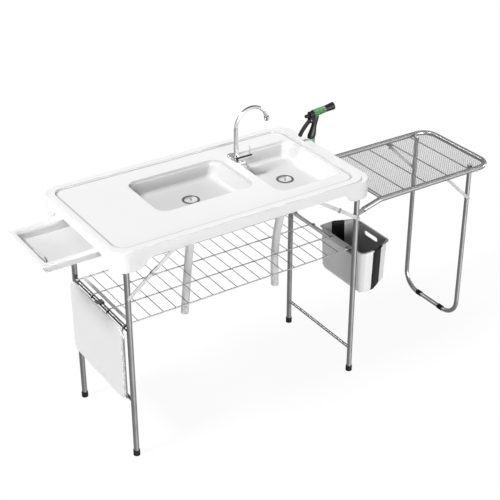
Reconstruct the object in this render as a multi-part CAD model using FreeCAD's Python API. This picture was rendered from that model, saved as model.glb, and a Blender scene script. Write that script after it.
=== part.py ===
import FreeCAD, Part
import math
import os
from FreeCAD import Vector

# A camping sink stand: a moulded worktop with two basins on four tube legs, with a drawer,
# a wire shelf, a mesh side table, a hanging bin, a cutting board, a tap and a spray gun.
# All sizes are in millimetres. The model is laid out with x along the worktop, y towards the
# back and z up from the floor, with zero midway between the legs, and is then moved along x
# so that the origin lies under the middle of the whole stand.

# Worktop
stand_height = 940.0
left_overhang = 74.0
right_overhang = 16.0
worktop_depth = 598.0
worktop_corner = 54.0
ledge_width = 32.0
ridge_width = 24.0
ridge_front_width = 30.0
ridge_height = 5.0
ridge_round = 4.0
ledge_drop = 6.0
deck_thickness = 5.0
deck_lip = 5.0
skirt_wall = 4.0
skirt_depth = 45.0
skirt_corner_depth = 82.0
skirt_corner_run = 84.0
skirt_curve_run = 64.0
skirt_end_run = 70.0
skirt_end_curve = 58.0
skirt_lean_share = 0.25
skirt_belly_share = 0.09
edge_search_share = 0.01
overrun = 6.0

# Basins
basin_wall = 3.0
basin_depth = 67.0
basin_corner = 42.0
basin_step_drop = 11.0
basin_step_width = 6.0
basin_lean = 5.0
basin_slope = 24.0
basin_floor_round = 20.0
basin_floor_corner = 20.0
basin_round_steps = 4
floor_round_share = 0.3
left_basin_start = -297.0
left_basin_length = 410.0
left_basin_front = -101.0
left_basin_back = 178.0
right_basin_place = 366.0
right_basin_length = 302.0
right_basin_front = -200.0
right_basin_back = 175.0
tap_shelf_length = 40.0
tap_shelf_depth = 91.0
tap_shelf_round = 12.0

# Drains
drain_ring_radius = 35.0
drain_ring_height = 2.0
drain_body_radius = 28.0
drain_body_depth = 6.0
drain_seat_radius = 26.0
drain_seat_depth = 4.0
drain_bore_radius = 18.0
drain_thread_radius = 22.0
drain_thread_depth = 30.0
strainer_clearance = 0.4
strainer_thickness = 1.5
strainer_hole_radius = 1.8
strainer_outer_holes = 14
strainer_inner_holes = 7
strainer_outer_pitch = 18.0
strainer_inner_pitch = 10.0
strainer_knob_radius = 3.5
strainer_knob_height = 7.0
drain_nut_radius = 30.0
drain_nut_depth = 16.0
drain_cup_radius = 26.0
drain_cup_depth = 34.0
drain_neck_depth = 42.0
drain_tail_depth = 84.0
drain_tail_bore = 11.5

# Drain hoses
hose_radius = 16.0
hose_bore_radius = 13.2
hose_root_radius = 14.9
hose_rib_pitch = 5.0
hose_start_depth = 50.0
hose_turn_share = 0.45
hose_end_share = 2.0
rib_shares = [0.08, 0.34, 0.58, 0.84]
clamp_width = 9.0
clamp_band = 1.0
clamp_start = 12.0
clamp_box = 11.0

# Drawer
drawer_reach = 206.0
drawer_length = 276.0
drawer_width = 300.0
drawer_gap = 4.7
drawer_rim_width = 20.0
drawer_rim_height = 8.0
drawer_depth = 40.0
drawer_wall = 2.5
drawer_lean = 9.0
drawer_corner = 9.0
drawer_rim_inset = 12.0
drawer_pull_radius = 65.0
drawer_pull_bulge = 30.0
drawer_pull_place = -50.0
drawer_pull_slope = 0.26
runner_wall = 2.0
runner_clearance = 0.4
runner_lip = 11.0
runner_length = 262.0

# Legs
leg_span = 1021.0
leg_inset = 76.0
leg_shift = -2.5
leg_radius = 11.0
leg_wall = 1.2
leg_top_depth = 43.0
leg_pivot_depth = 55.0
foot_radius = 13.5
foot_height = 24.0
foot_floor = 4.0
upper_bar_height = 565.0
upper_bar_radius = 8.0
lower_bar_radius = 6.5
left_lower_bar_height = 250.0
right_lower_bar_height = 111.0

# Leg brackets and bolts
bracket_plate = 2.5
bracket_inward = 30.0
bracket_outward = 10.0
bracket_below = 14.0
bolt_radius = 4.0
bolt_head_radius = 7.0
bolt_head_height = 4.0

# Folding stays
stay_width = 15.0
stay_plate = 2.2
stay_gap = 0.3
left_stay_drop = 228.0
right_stay_drop = 205.0
stay_top_reach = 190.0
stay_top_depth = 80.0
stay_lap_share = 0.5
stay_lap = 54.0
stay_lock_width = 19.0
stay_lock_length = 9.0
rivet_radius = 3.0
rivet_head_radius = 5.0
rivet_head_height = 1.8

# Wire shelf
long_wire_radius = 2.5
cross_wire_radius = 1.5
wire_seat_gap = 0.3
shelf_inset = 32.5
long_wire_count = 4
shelf_hook_drop = 9.0
cross_wire_count = 18
cross_wire_left_gap = 51.0
cross_wire_right_gap = 58.8
shelf_side_overlap = 2.5
shelf_bar_width = 13.0
shelf_bar_thickness = 2.0
shelf_bar_place = 21.0

# Cutting board
rail_radius = 4.0
rail_place = 19.0
rail_half_width = 207.0
rail_corner = 34.0
rail_bottom_rise = 16.0
board_thickness = 10.0
board_width = 416.0
board_shift = -6.0
board_height = 317.0
board_top_rise = 16.0
board_corner = 30.0
board_seat_gap = 0.3
board_edge_round = 2.0
hook_width = 26.0
hook_plate = 1.6
hook_clearance = 0.4
hook_drop = 15.0
hook_place = 6.0

# Hanging bin
bin_gap = 16.0
bin_top_rise = 10.0
bin_height = 202.0
bin_reach = 161.0
bin_bend = 76.0
bin_straight = 58.0
bin_band = 54.0
bin_back_width = 284.0
bin_front_width = 206.0
bin_band_width = 256.0
bin_shift = -111.0
bin_wall = 2.5
bin_taper = 5.0
bin_floor_round = 24.0
bin_corner = 18.0
bin_rim = 6.0
bin_rim_height = 4.0
bin_slot_length = 84.0
bin_slot_height = 20.0
bin_slot_depth = 32.0
bin_slot_round_share = 0.98
bin_hook_width = 96.0
bin_hook_shift = -9.0
bin_hook_plate = 2.0
bin_hook_drop = 14.0

# Side table
side_rise = 35.0
side_radius = 11.0
side_wall = 1.2
side_inset = 17.0
side_reach = 725.0
side_run_up = 132.0
side_corner = 62.0
side_bend = 62.0
side_lug_plate = 5.0
side_lug_width = 22.0
side_lug_length = 60.0
side_lug_gap = 0.3
side_pin_clearance = 0.05
mesh_thickness = 1.5
mesh_border = 6.0
mesh_columns = 21
mesh_rows = 14
mesh_strand = 3.0
mesh_notch = 13.0
side_rod_radius = 2.5
side_rod_spacing = 116.0
side_rod_count = 5
side_rod_gap = 23.0
side_rod_edge = 9.0
side_leg_reach = 640.0
side_leg_inset = 33.0
side_leg_radius = 10.0
side_leg_bend = 84.0
side_leg_rise = 3.0
side_cap_height = 6.0
side_pad_radius = 12.0
side_pad_length = 28.0
side_pad_place = 74.0
side_joint_drop = 5.0
side_spacer_radius = 4.5
brace_width = 13.0
brace_plate = 2.5
brace_top_back = 136.0
brace_tab_depth = 16.0
brace_drop = 150.0
brace_tab_length = 20.0

# Tap
tap_place_x = 172.0
tap_place_y = 128.0
tap_base_length = 88.0
tap_base_shift = 6.0
tap_base_width = 38.0
tap_base_height = 8.0
tap_base_round = 2.5
tap_base_round_share = 0.95
tap_column_radius = 9.6
tap_column_top_radius = 9.0
tap_column_height = 124.0
tap_collar_radius = 11.5
tap_collar_height = 10.0
spout_radius = 7.2
spout_wall = 1.0
spout_clearance = 0.05
spout_socket = 30.0
spout_reach = 141.0
spout_turn = 165.0
aerator_radius = 10.0
aerator_length = 15.0
valve_radius = 10.5
valve_length = 52.0
valve_start = 20.0
valve_forward = 38.0
valve_rise = 11.0
valve_neck_radius = 7.0
lever_hub_length = 13.0
lever_hub_gap = 0.3
lever_rod_radius = 2.2
lever_rod_length = 34.0
shank_radius = 8.0
shank_bore = 5.5
shank_length = 34.0
shank_nut_radius = 14.0
shank_nut_height = 8.0

# Spray gun
gun_outset = 17.0
gun_place_y = 130.0
gun_axis_outset = 44.5
gun_axis_rise = 151.5
gun_tilt = 7.0
gun_lean = 24.5
grip_set_back = 5.5
gun_seat_drop = 47.0
gun_connector_radius = 12.0
gun_connector_height = 24.0
gun_connector_bore = 9.0
gun_connector_thread = 14.0
grip_rises = [44.0, 52.0, 75.0, 107.0, 139.0]
grip_radii = [15.5, 17.5, 15.0, 12.3, 11.0]
grip_width_share = 0.84
gun_housing_start = -44.0
gun_housing_radius = 14.0
gun_barrel_start = -25.0
gun_barrel_radius = 16.5
gun_barrel_end_radius = 14.0
gun_head_start = 32.0
gun_head_radius = 13.2
gun_head_end_radius = 16.0
gun_end = 75.0
gun_nozzle_bore = 7.0
gun_nozzle_depth = 14.0
gun_knob_radius = 7.0
gun_knob_length = 16.0
gun_knob_stem_radius = 4.5
gun_knob_stem = 4.0
trigger_width = 13.0
trigger_thickness = 11.0
trigger_pivot_back = 10.5
trigger_pivot_rise = 125.0
trigger_middle_back = 40.5
trigger_middle_rise = 97.0
trigger_tip_back = 60.5
trigger_tip_rise = 68.5
trigger_cheek_reach = 8.0
trigger_cheek = 3.0
trigger_slot_share = 0.8
trigger_pin_radius = 2.5
holder_plate = 3.0
holder_width = 36.0
holder_height = 30.0
holder_ring_wall = 3.5
holder_ring_height = 13.0
holder_clearance = 0.4

# Places worked out from the sizes above
left_leg_x = leg_shift - leg_span / 2
right_leg_x = leg_shift + leg_span / 2
worktop_left = left_overhang - left_leg_x
worktop_right = right_leg_x + right_overhang
ridge_right = worktop_right - ledge_width
left_stay_height = stand_height - left_stay_drop
right_stay_height = stand_height - right_stay_drop
half_depth = worktop_depth / 2
leg_y = half_depth - leg_inset
leg_gauge = 2 * leg_y
deck_top = stand_height - ridge_height
deck_under = deck_top - deck_thickness
skirt_top = deck_under - deck_lip
ledge_top = stand_height - ledge_drop
skirt_low = stand_height - skirt_corner_depth
skirt_mid = stand_height - skirt_depth
basin_floor = deck_top - basin_depth
leg_top = stand_height - leg_top_depth
leg_pivot = stand_height - leg_pivot_depth
drawer_top = skirt_mid - drawer_gap
drawer_outer = -worktop_left - drawer_reach
right_basin_start = worktop_right - right_basin_place
right_basin_end = right_basin_start + right_basin_length
left_basin_end = left_basin_start + left_basin_length
left_drain = Vector(
    (left_basin_start + left_basin_end) / 2, (left_basin_front + left_basin_back) / 2, basin_floor,
)
right_drain = Vector(
    (right_basin_start + right_basin_end) / 2, (right_basin_front + right_basin_back) / 2, basin_floor,
)
hose_top = basin_floor - hose_start_depth
wire_height = upper_bar_height + upper_bar_radius + wire_seat_gap + long_wire_radius
wire_bend = upper_bar_radius + wire_seat_gap + long_wire_radius
shelf_half_depth = leg_gauge / 2 - shelf_inset
shelf_wire_spacing = 2 * shelf_half_depth / (long_wire_count - 1)
cross_wire_start = left_leg_x + cross_wire_left_gap
cross_wire_spacing = (right_leg_x - cross_wire_right_gap - cross_wire_start) / (cross_wire_count - 1)
rail_bottom = left_lower_bar_height + rail_bottom_rise
board_top = upper_bar_height + board_top_rise
board_bottom = board_top - board_height
bin_top = upper_bar_height + bin_top_rise
bin_face = right_leg_x + bin_gap
side_pivot_height = right_stay_height
side_height = side_pivot_height + side_rise
side_start = right_leg_x + side_run_up
side_end = right_leg_x + side_reach
side_half_width = leg_y - side_inset
side_rod_start = side_start + side_rod_gap
side_leg_place = right_leg_x + side_leg_reach
side_leg_y = side_half_width - side_leg_inset
side_middle = (drawer_outer + side_end + side_radius) / 2
gun_place_x = worktop_right + gun_outset
gun_axis_x = worktop_right + gun_axis_outset
gun_seat_height = stand_height - gun_seat_drop
gun_axis_height = gun_seat_height + gun_axis_rise
trigger_pivot_x = gun_place_x - trigger_pivot_back
trigger_pivot_z = gun_seat_height + trigger_pivot_rise
trigger_middle_x = gun_place_x - trigger_middle_back
trigger_middle_z = gun_seat_height + trigger_middle_rise
trigger_tip_x = gun_place_x - trigger_tip_back
trigger_tip_z = gun_seat_height + trigger_tip_rise

# Free routes of the two drain hoses, as offsets from the drain's centre and from the hose's top
left_hose_route = [
    Vector(0, 0, 0), Vector(0, 0, -83), Vector(-16, 1, -193),
    Vector(-29, 2, -323), Vector(-41, 2, -447),
]
right_hose_route = [
    Vector(0, 0, 0), Vector(0, 0, -53), Vector(-31, -1, -143), Vector(-44, -2, -238),
    Vector(-48, -2, -331), Vector(-43, -2, -418),
]


def block(x0, x1, y0, y1, z0, z1):
    return Part.makeBox(x1 - x0, y1 - y0, z1 - z0, Vector(x0, y0, z0))


def rod(start, end, radius):
    return Part.makeCylinder(radius, start.distanceToPoint(end), start, end - start)


def pipe(start, end, radius, bore):
    return rod(start, end, radius).cut(rod(start, end, bore))


def bend(before, corner, after, radius):
    # Start, middle and end of the arc that rounds a corner of a route or an outline
    back = (before - corner).normalize()
    ahead = (after - corner).normalize()
    half = back.getAngle(ahead) / 2
    reach = radius / math.tan(half)
    inward = (back + ahead).normalize()
    middle = corner + inward * (radius / math.sin(half) - radius)
    return corner + back * reach, middle, corner + ahead * reach


def outline(corners, radii):
    # A closed wire of straight sides and round corners
    count = len(corners)
    arcs = [bend(corners[i - 1], corners[i], corners[(i + 1) % count], radii[i]) for i in range(count)]
    edges = []
    for i in range(count):
        edges.append(Part.Arc(*arcs[i]).toShape())
        edges.append(Part.LineSegment(arcs[i][2], arcs[(i + 1) % count][0]).toShape())
    return Part.Wire(edges)


def route(points, radii):
    # An open wire of straight runs joined by tangent arcs, one radius for each inner point
    edges = []
    last = points[0]
    for i in range(1, len(points) - 1):
        start, middle, end = bend(points[i - 1], points[i], points[i + 1], radii[i - 1])
        edges.append(Part.LineSegment(last, start).toShape())
        edges.append(Part.Arc(start, middle, end).toShape())
        last = end
    edges.append(Part.LineSegment(last, points[-1]).toShape())
    return Part.Wire(edges)


def swept(path, radius):
    # A solid round bar along a route
    first = path.OrderedEdges[0]
    start = first.valueAt(first.FirstParameter)
    heading = first.tangentAt(first.FirstParameter)
    if path.OrderedVertexes[0].Point.distanceToPoint(start) > radius:
        start = first.valueAt(first.LastParameter)
        heading = first.tangentAt(first.LastParameter)
    profile = Part.Wire(Part.makeCircle(radius, start, heading))
    return Part.Solid(path.makePipeShell([profile], True, False))


def bent_tube(points, radii, radius, wall):
    path = route(points, radii)
    return swept(path, radius).cut(swept(path, radius - wall))


def prism(wire, height):
    return Part.Face(wire).extrude(Vector(0, 0, height))


def rectangle(x0, x1, y0, y1, z, inset=0.0):
    return [
        Vector(x0 + inset, y0 + inset, z), Vector(x1 - inset, y0 + inset, z),
        Vector(x1 - inset, y1 - inset, z), Vector(x0 + inset, y1 - inset, z),
    ]


def slab(x0, x1, y0, y1, z0, z1, radius):
    return prism(outline(rectangle(x0, x1, y0, y1, z0), [radius] * 4), z1 - z0)


def top_edges(shape, height):
    near = deck_thickness * edge_search_share
    boxes = [(e, e.BoundBox) for e in shape.Edges]
    return [e for e, box in boxes if abs(box.ZMin - height) < near and abs(box.ZMax - height) < near]


def revolved(profile, centre):
    # A turned piece: a profile of radius and height pairs, turned about a vertical axis
    points = [centre + Vector(r, 0, z) for r, z in profile]
    face = Part.Face(Part.makePolygon(points + [points[0]]))
    return face.revolve(centre, Vector(0, 0, 1), 360)


def scallop(start, end, run, low, high):
    # The gap under one side of the skirt: level in the middle, curved down to each corner
    mid_z = (low + high) / 2
    points = [
        (start, low - overrun), (start, low), (start + run / 2, mid_z), (start + run, high),
        (end - run, high), (end - run / 2, mid_z), (end, low), (end, low - overrun),
    ]
    return points


def scallop_wire(points, place):
    spots = [place(a, z) for a, z in points]
    low_start, start, start_mid, start_high, end_high, end_mid, end, low_end = spots
    rise = start_high - start
    flat = Vector(rise.x, rise.y, 0)
    up = Vector(0, 0, rise.z)
    level_share = skirt_lean_share + skirt_belly_share / 2
    low_share = skirt_lean_share - skirt_belly_share
    near_corner = flat * level_share + up * low_share
    near_middle = flat * (1 - level_share) + up * (1 - low_share)
    mirror_corner = up * low_share - flat * level_share
    mirror_middle = up * (1 - low_share) - flat * (1 - level_share)
    edges = [
        Part.LineSegment(low_start, start).toShape(),
        Part.Arc(start, start + near_corner, start_mid).toShape(),
        Part.Arc(start_mid, start + near_middle, start_high).toShape(),
        Part.LineSegment(start_high, end_high).toShape(),
        Part.Arc(end_high, end + mirror_middle, end_mid).toShape(),
        Part.Arc(end_mid, end + mirror_corner, end).toShape(),
        Part.LineSegment(end, low_end).toShape(),
        Part.LineSegment(low_end, low_start).toShape(),
    ]
    return Part.Wire(edges)


def left_basin_corners(inset, z, slope):
    x0 = left_basin_start + inset
    x1 = left_basin_end - inset - slope
    y0 = left_basin_front + inset
    y1 = left_basin_back - inset
    return rectangle(x0, x1, y0, y1, z)


def right_basin_corners(inset, z, slope):
    # The back left corner leaves a shelf of worktop for the tap
    x0 = right_basin_start + inset
    x1 = right_basin_end - inset - slope
    y0 = right_basin_front + inset
    y1 = right_basin_back - inset
    notch_x = right_basin_start + tap_shelf_length + inset
    notch_y = right_basin_back - tap_shelf_depth - inset
    return [
        Vector(x0, y0, z), Vector(x1, y0, z), Vector(x1, y1, z),
        Vector(notch_x, y1, z), Vector(notch_x, notch_y, z), Vector(x0, notch_y, z),
    ]


def basin_radii(corners, inset):
    wide = max(basin_corner - inset, basin_floor_corner)
    if len(corners) == 4:
        return [wide] * 4
    small = tap_shelf_round
    return [wide, wide, wide, small, small + inset, small]


def basin_wire(corner_rule, inset, z, slope=0):
    corners = corner_rule(inset, z, slope)
    return outline(corners, basin_radii(corners, inset))


def basin_levels(step):
    # Inset, height and end slope from the step down round the floor's edge
    side = basin_step_width
    foot = side + basin_lean
    levels = [(side, step)]
    for i in range(basin_round_steps + 1):
        turn = math.pi / 2 * i / basin_round_steps
        inset = foot + basin_floor_round * (1 - math.cos(turn))
        levels.append((inset, basin_floor + basin_floor_round * (1 - math.sin(turn))))
    return [(inset, z, basin_slope * (step - z) / (step - basin_floor)) for inset, z in levels]


def make_basin(corner_rule, drain):
    step = deck_top - basin_step_drop
    outer_neck = prism(basin_wire(corner_rule, -basin_wall, step - basin_wall), deck_top - step + basin_wall)
    inner_neck = prism(basin_wire(corner_rule, 0, step), deck_top - step + overrun)
    levels = basin_levels(step)
    side = basin_step_width
    inner_wires = [basin_wire(corner_rule, side, step + basin_wall)]
    inner_wires += [basin_wire(corner_rule, inset, z, slope) for inset, z, slope in levels]
    outer_wires = [
        basin_wire(corner_rule, inset - basin_wall, z - basin_wall, slope) for inset, z, slope in levels
    ]
    inner = Part.makeLoft(inner_wires, True, True)
    outer = Part.makeLoft(outer_wires, True, True)
    hole = rod(drain - Vector(0, 0, overrun), drain + Vector(0, 0, overrun), drain_body_radius)
    return outer_neck.fuse(outer).cut(inner_neck).cut(inner).cut(hole)


def make_left_basin():
    return make_basin(left_basin_corners, left_drain)


def make_right_basin():
    return make_basin(right_basin_corners, right_drain)


def make_worktop():
    # The deck with its ridge and its lower ledge at the right end
    full = slab(-worktop_left, worktop_right, -half_depth, half_depth, skirt_top, ledge_top, worktop_corner)
    full = full.makeFillet(ridge_round, top_edges(full, ledge_top))
    cap = slab(-worktop_left, ridge_right, -half_depth, half_depth, deck_under, stand_height, worktop_corner)
    cap = cap.makeFillet(ridge_round, top_edges(cap, stand_height))
    recess = slab(
        -worktop_left + ridge_width, ridge_right - ridge_width, -half_depth + ridge_front_width,
        half_depth - ridge_front_width, deck_top, stand_height + overrun, worktop_corner - ridge_round,
    )
    top = full.cut(worktop_cavity(skirt_top - overrun, deck_under)).fuse(cap).cut(recess)
    for corner_rule in (left_basin_corners, right_basin_corners):
        neck = prism(basin_wire(corner_rule, -basin_wall, deck_under - overrun), deck_thickness + 2 * overrun)
        top = top.cut(neck)
    shank_hole = rod(
        Vector(tap_place_x, tap_place_y, deck_under - overrun), Vector(
            tap_place_x, tap_place_y, deck_top + overrun,
        ),
        shank_radius,
    )
    return top.cut(shank_hole).removeSplitter()


def worktop_cavity(low, high):
    # The room inside the skirt's wall
    return slab(
        -worktop_left + skirt_wall, worktop_right - skirt_wall, -half_depth + skirt_wall, half_depth - skirt_wall,
        low, high, worktop_corner - skirt_wall,
    )


def make_skirt():
    # The apron under the deck's edge, deeper at the corners
    outer = slab(-worktop_left, worktop_right, -half_depth, half_depth, skirt_low, skirt_top, worktop_corner)
    apron = outer.cut(worktop_cavity(skirt_low - overrun, skirt_top + overrun))
    along = scallop_wire(
        scallop(
            -worktop_left + skirt_corner_run, worktop_right - skirt_corner_run, skirt_curve_run, skirt_low,
            skirt_mid,
        ),
        lambda a, z: Vector(a, -half_depth - overrun, z),
    )
    across = scallop_wire(
        scallop(
            -half_depth + skirt_end_run, half_depth - skirt_end_run, skirt_end_curve, skirt_low, skirt_mid,
        ),
        lambda a, z: Vector(-worktop_left - overrun, a, z),
    )
    apron = apron.cut(Part.Face(along).extrude(Vector(0, worktop_depth + 2 * overrun, 0)))
    return apron.cut(Part.Face(across).extrude(Vector(worktop_left + worktop_right + 2 * overrun, 0, 0)))


def make_drain_flange(drain):
    profile = [
        (drain_ring_radius, 0), (drain_ring_radius, drain_ring_height), (
            drain_seat_radius, drain_ring_height,
        ),
        (drain_seat_radius, -drain_seat_depth), (drain_bore_radius, -drain_seat_depth),
        (drain_bore_radius, -drain_thread_depth), (drain_thread_radius, -drain_thread_depth),
        (drain_thread_radius, -drain_body_depth), (drain_body_radius, -drain_body_depth), (
            drain_body_radius, 0,
        ),
    ]
    return revolved(profile, drain)


def make_strainer(drain):
    base = drain - Vector(0, 0, drain_seat_depth)
    top = base + Vector(0, 0, strainer_thickness)
    disc = rod(base, top, drain_seat_radius - strainer_clearance)
    rings = ((strainer_outer_pitch, strainer_outer_holes), (strainer_inner_pitch, strainer_inner_holes))
    for pitch, count in rings:
        for i in range(count):
            turn = 2 * math.pi * i / count
            spot = base + Vector(pitch * math.cos(turn), pitch * math.sin(turn), -overrun)
            disc = disc.cut(
                rod(spot, spot + Vector(0, 0, 2 * overrun + strainer_thickness), strainer_hole_radius)
            )
    knob = rod(top, top + Vector(0, 0, strainer_knob_height), strainer_knob_radius)
    return disc.fuse(knob)


def make_drain_tail(drain):
    profile = [
        (drain_thread_radius, -drain_body_depth), (drain_nut_radius, -drain_body_depth),
        (drain_nut_radius, -drain_body_depth - drain_nut_depth), (drain_cup_radius, -drain_cup_depth),
        (hose_bore_radius, -drain_neck_depth), (hose_bore_radius, -drain_tail_depth),
        (drain_tail_bore, -drain_tail_depth), (drain_tail_bore, -drain_cup_depth),
        (drain_bore_radius, -drain_thread_depth), (drain_thread_radius, -drain_thread_depth),
    ]
    return revolved(profile, drain)


def hose_points(drain, offsets):
    top = Vector(drain.x, drain.y, hose_top)
    return [top + offset for offset in offsets]


def hose_radii(points):
    radii = []
    for i in range(1, len(points) - 1):
        before = points[i - 1] - points[i]
        after = points[i + 1] - points[i]
        turn = math.pi - before.getAngle(after)
        radii.append(hose_turn_share * min(before.Length, after.Length) / math.tan(turn / 2))
    return radii


def ring_on(path, distance, radius):
    # A circle square to the route, with its seam kept on one side all the way
    place = 0.0
    for edge in path.OrderedEdges:
        if distance <= place + edge.Length or edge is path.OrderedEdges[-1]:
            break
        place += edge.Length
    at = edge.getParameterByLength(min(max(distance - place, 0), edge.Length))
    heading = edge.tangentAt(at)
    seam = heading.cross(Vector(0, 1, 0)).cross(heading).normalize()
    centre = edge.valueAt(at)
    side = heading.cross(seam)
    arcs = []
    for quarter in range(4):
        turns = [math.pi / 2 * (quarter + step) for step in (0, 0.5, 1)]
        spots = [centre + seam * (radius * math.cos(t)) + side * (radius * math.sin(t)) for t in turns]
        arcs.append(Part.Arc(*spots).toShape())
    return Part.Wire(arcs)


def make_hose(drain, offsets):
    points = hose_points(drain, offsets)
    radii = hose_radii(points)
    print("hose bends", [round(r) for r in radii])
    path = route(points, radii)
    plain = hose_end_share * hose_radius
    ribs = int((path.Length - 2 * plain) / hose_rib_pitch)
    pitch = (path.Length - 2 * plain) / ribs
    rings = [ring_on(path, 0, hose_radius), ring_on(path, plain, hose_radius)]
    for i in range(ribs):
        for share, radius in zip(rib_shares, (hose_root_radius, hose_radius, hose_radius, hose_root_radius)):
            rings.append(ring_on(path, plain + pitch * (i + share), radius))
    rings.append(ring_on(path, path.Length - plain, hose_radius))
    rings.append(ring_on(path, path.Length, hose_radius))
    outer = Part.makeLoft(rings, True, True)
    hose = outer.cut(swept(path, hose_bore_radius))
    print("hose length", round(path.Length), "ribs", ribs, "volume", round(hose.Volume))
    return hose


def make_hose_clamps():
    clamps = []
    for drain in (left_drain, right_drain):
        top = Vector(drain.x, drain.y, hose_top - clamp_start)
        bottom = top - Vector(0, 0, clamp_width)
        band = pipe(bottom, top, hose_radius + clamp_band, hose_radius)
        box = block(
            top.x - clamp_box / 2, top.x + clamp_box / 2, top.y - hose_radius - clamp_box, top.y,
            bottom.z, top.z,
        )
        clamps.append(band.fuse(box.cut(rod(bottom, top, hose_radius + clamp_band / 2))).removeSplitter())
    return Part.makeCompound(clamps)


def make_drawer():
    x0 = drawer_outer
    x1 = drawer_outer + drawer_length
    y1 = drawer_width / 2
    top = drawer_top
    low = top - drawer_depth
    rim = slab(x0, x1, -y1, y1, top - drawer_rim_height, top, drawer_corner)
    rim = rim.makeFillet(drawer_wall, top_edges(rim, top))
    side = drawer_rim_inset
    foot = side + drawer_lean

    def shell(spread, bottom):
        wires = [
            outline(rectangle(x0, x1, -y1, y1, top - drawer_rim_height, side + spread), [drawer_corner] * 4),
            outline(rectangle(x0, x1, -y1, y1, bottom, foot + spread), [drawer_corner] * 4),
        ]
        return Part.makeLoft(wires, True, True)

    outer = shell(0, low)
    inner = shell(drawer_wall, low + drawer_wall)
    opening = slab(
        x0 + drawer_rim_width, x1 - drawer_rim_width, -y1 + drawer_rim_width, y1 - drawer_rim_width,
        top - drawer_rim_height - overrun, top + overrun, drawer_corner,
    )
    neck = slab(
        x0 + side + drawer_wall, x1 - side - drawer_wall, -y1 + side + drawer_wall, y1 - side - drawer_wall,
        top - drawer_rim_height, top - drawer_wall, drawer_corner,
    )
    tray = outer.cut(inner).fuse(rim).cut(opening).cut(neck)
    bulge = pull_bulge(x0 + foot, drawer_pull_radius, low, top - drawer_rim_height)
    hollow = pull_bulge(
        x0 + foot, drawer_pull_radius - drawer_wall, low - drawer_wall, top - drawer_rim_height - drawer_wall,
    )
    # Only what lies inside the tray's outer faces is kept of the bulge
    bulge = bulge.common(outer)
    return tray.fuse(bulge).cut(hollow).removeSplitter()


def pull_bulge(wall_x, radius, low, high):
    # The sloping bulge of the finger grip, high towards the back and low towards the front
    centre_x = wall_x + drawer_pull_bulge - drawer_pull_radius
    drum = rod(
        Vector(centre_x, drawer_pull_place, low - overrun), Vector(centre_x, drawer_pull_place, high), radius,
    )
    y0 = drawer_pull_place - drawer_pull_radius
    y1 = drawer_pull_place + drawer_pull_radius
    fall = (y1 - y0) * drawer_pull_slope
    corners = [
        Vector(drawer_outer - overrun, y0, low - overrun), Vector(drawer_outer - overrun, y1, low - overrun),
        Vector(drawer_outer - overrun, y1, high), Vector(drawer_outer - overrun, y0, high - fall),
    ]
    wedge = Part.Face(Part.makePolygon(corners + [corners[0]])).extrude(Vector(drawer_length, 0, 0))
    return drum.common(wedge)


def make_drawer_runners():
    rails = []
    start = -worktop_left + skirt_wall
    for side in (-1, 1):
        web_in = drawer_width / 2 + runner_clearance
        low = drawer_top - drawer_rim_height - runner_clearance - runner_wall
        high = drawer_top + runner_clearance
        web = block(start, start + runner_length, web_in, web_in + runner_wall, low, deck_under)
        foot = block(start, start + runner_length, web_in - runner_lip, web_in, low, low + runner_wall)
        cover = block(start, start + runner_length, web_in - runner_lip, web_in, high, high + runner_wall)
        rail = web.fuse(foot).fuse(cover).removeSplitter()
        if side < 0:
            rail = rail.mirror(Vector(0, 0, 0), Vector(0, 1, 0))
        rails.append(rail)
    return Part.makeCompound(rails)


def cross_hole(x, y, z, radius):
    # A hole through a leg along y
    reach = leg_radius + overrun
    return rod(Vector(x, y - reach, z), Vector(x, y + reach, z), radius)


def make_leg(x, side):
    y = side * leg_y
    leg = pipe(Vector(x, y, foot_floor), Vector(x, y, leg_top), leg_radius, leg_radius - leg_wall)
    leg = leg.cut(cross_hole(x, y, leg_pivot, bolt_radius))
    if side < 0 and x < 0:
        leg = leg.cut(cross_hole(x, y, left_stay_height, rivet_radius))
    if x > 0:
        leg = leg.cut(cross_hole(x, y, side_pivot_height, bolt_radius))
    return leg


def make_crossbar(x, height, radius):
    bar = rod(Vector(x, -leg_y, height), Vector(x, leg_y, height), radius)
    bore = rod(Vector(x, -leg_y, height), Vector(x, leg_y, height), radius - leg_wall)
    bar = bar.cut(bore)
    for side in (-1, 1):
        bar = bar.cut(rod(Vector(x, side * leg_y, 0), Vector(x, side * leg_y, leg_top), leg_radius))
    return bar


def make_feet():
    feet = []
    for x in (left_leg_x, right_leg_x):
        for side in (-1, 1):
            base = Vector(x, side * leg_y, 0)
            cap = rod(base, base + Vector(0, 0, foot_height), foot_radius)
            cap = cap.makeFillet(foot_floor / 2, top_edges(cap, foot_height))
            feet.append(
                cap.cut(
                    rod(
                        base + Vector(0, 0, foot_floor), base + Vector(0, 0, foot_height + overrun),
                        leg_radius,
                    )
                )
            )
    return Part.makeCompound(feet)


def make_deck_brackets():
    return Part.makeCompound(leg_brackets() + stay_brackets())


def leg_brackets():
    brackets = []
    for x, inward in ((left_leg_x, 1), (right_leg_x, -1)):
        x0 = min(x + inward * bracket_inward, x - inward * bracket_outward)
        x1 = max(x + inward * bracket_inward, x - inward * bracket_outward)
        for side in (-1, 1):
            y = side * leg_y
            ear_in = leg_radius
            ear_out = leg_radius + bracket_plate
            low = leg_pivot - bracket_below
            flange = block(x0, x1, y - ear_out, y + ear_out, deck_under - bracket_plate, deck_under)
            ears = [
                block(x0, x1, y - ear_out, y - ear_in, low, deck_under),
                block(x0, x1, y + ear_in, y + ear_out, low, deck_under),
            ]
            bracket = flange.fuse(ears[0]).fuse(ears[1]).removeSplitter()
            brackets.append(bracket.cut(cross_hole(x, y, leg_pivot, bolt_radius)))
    return brackets


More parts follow.
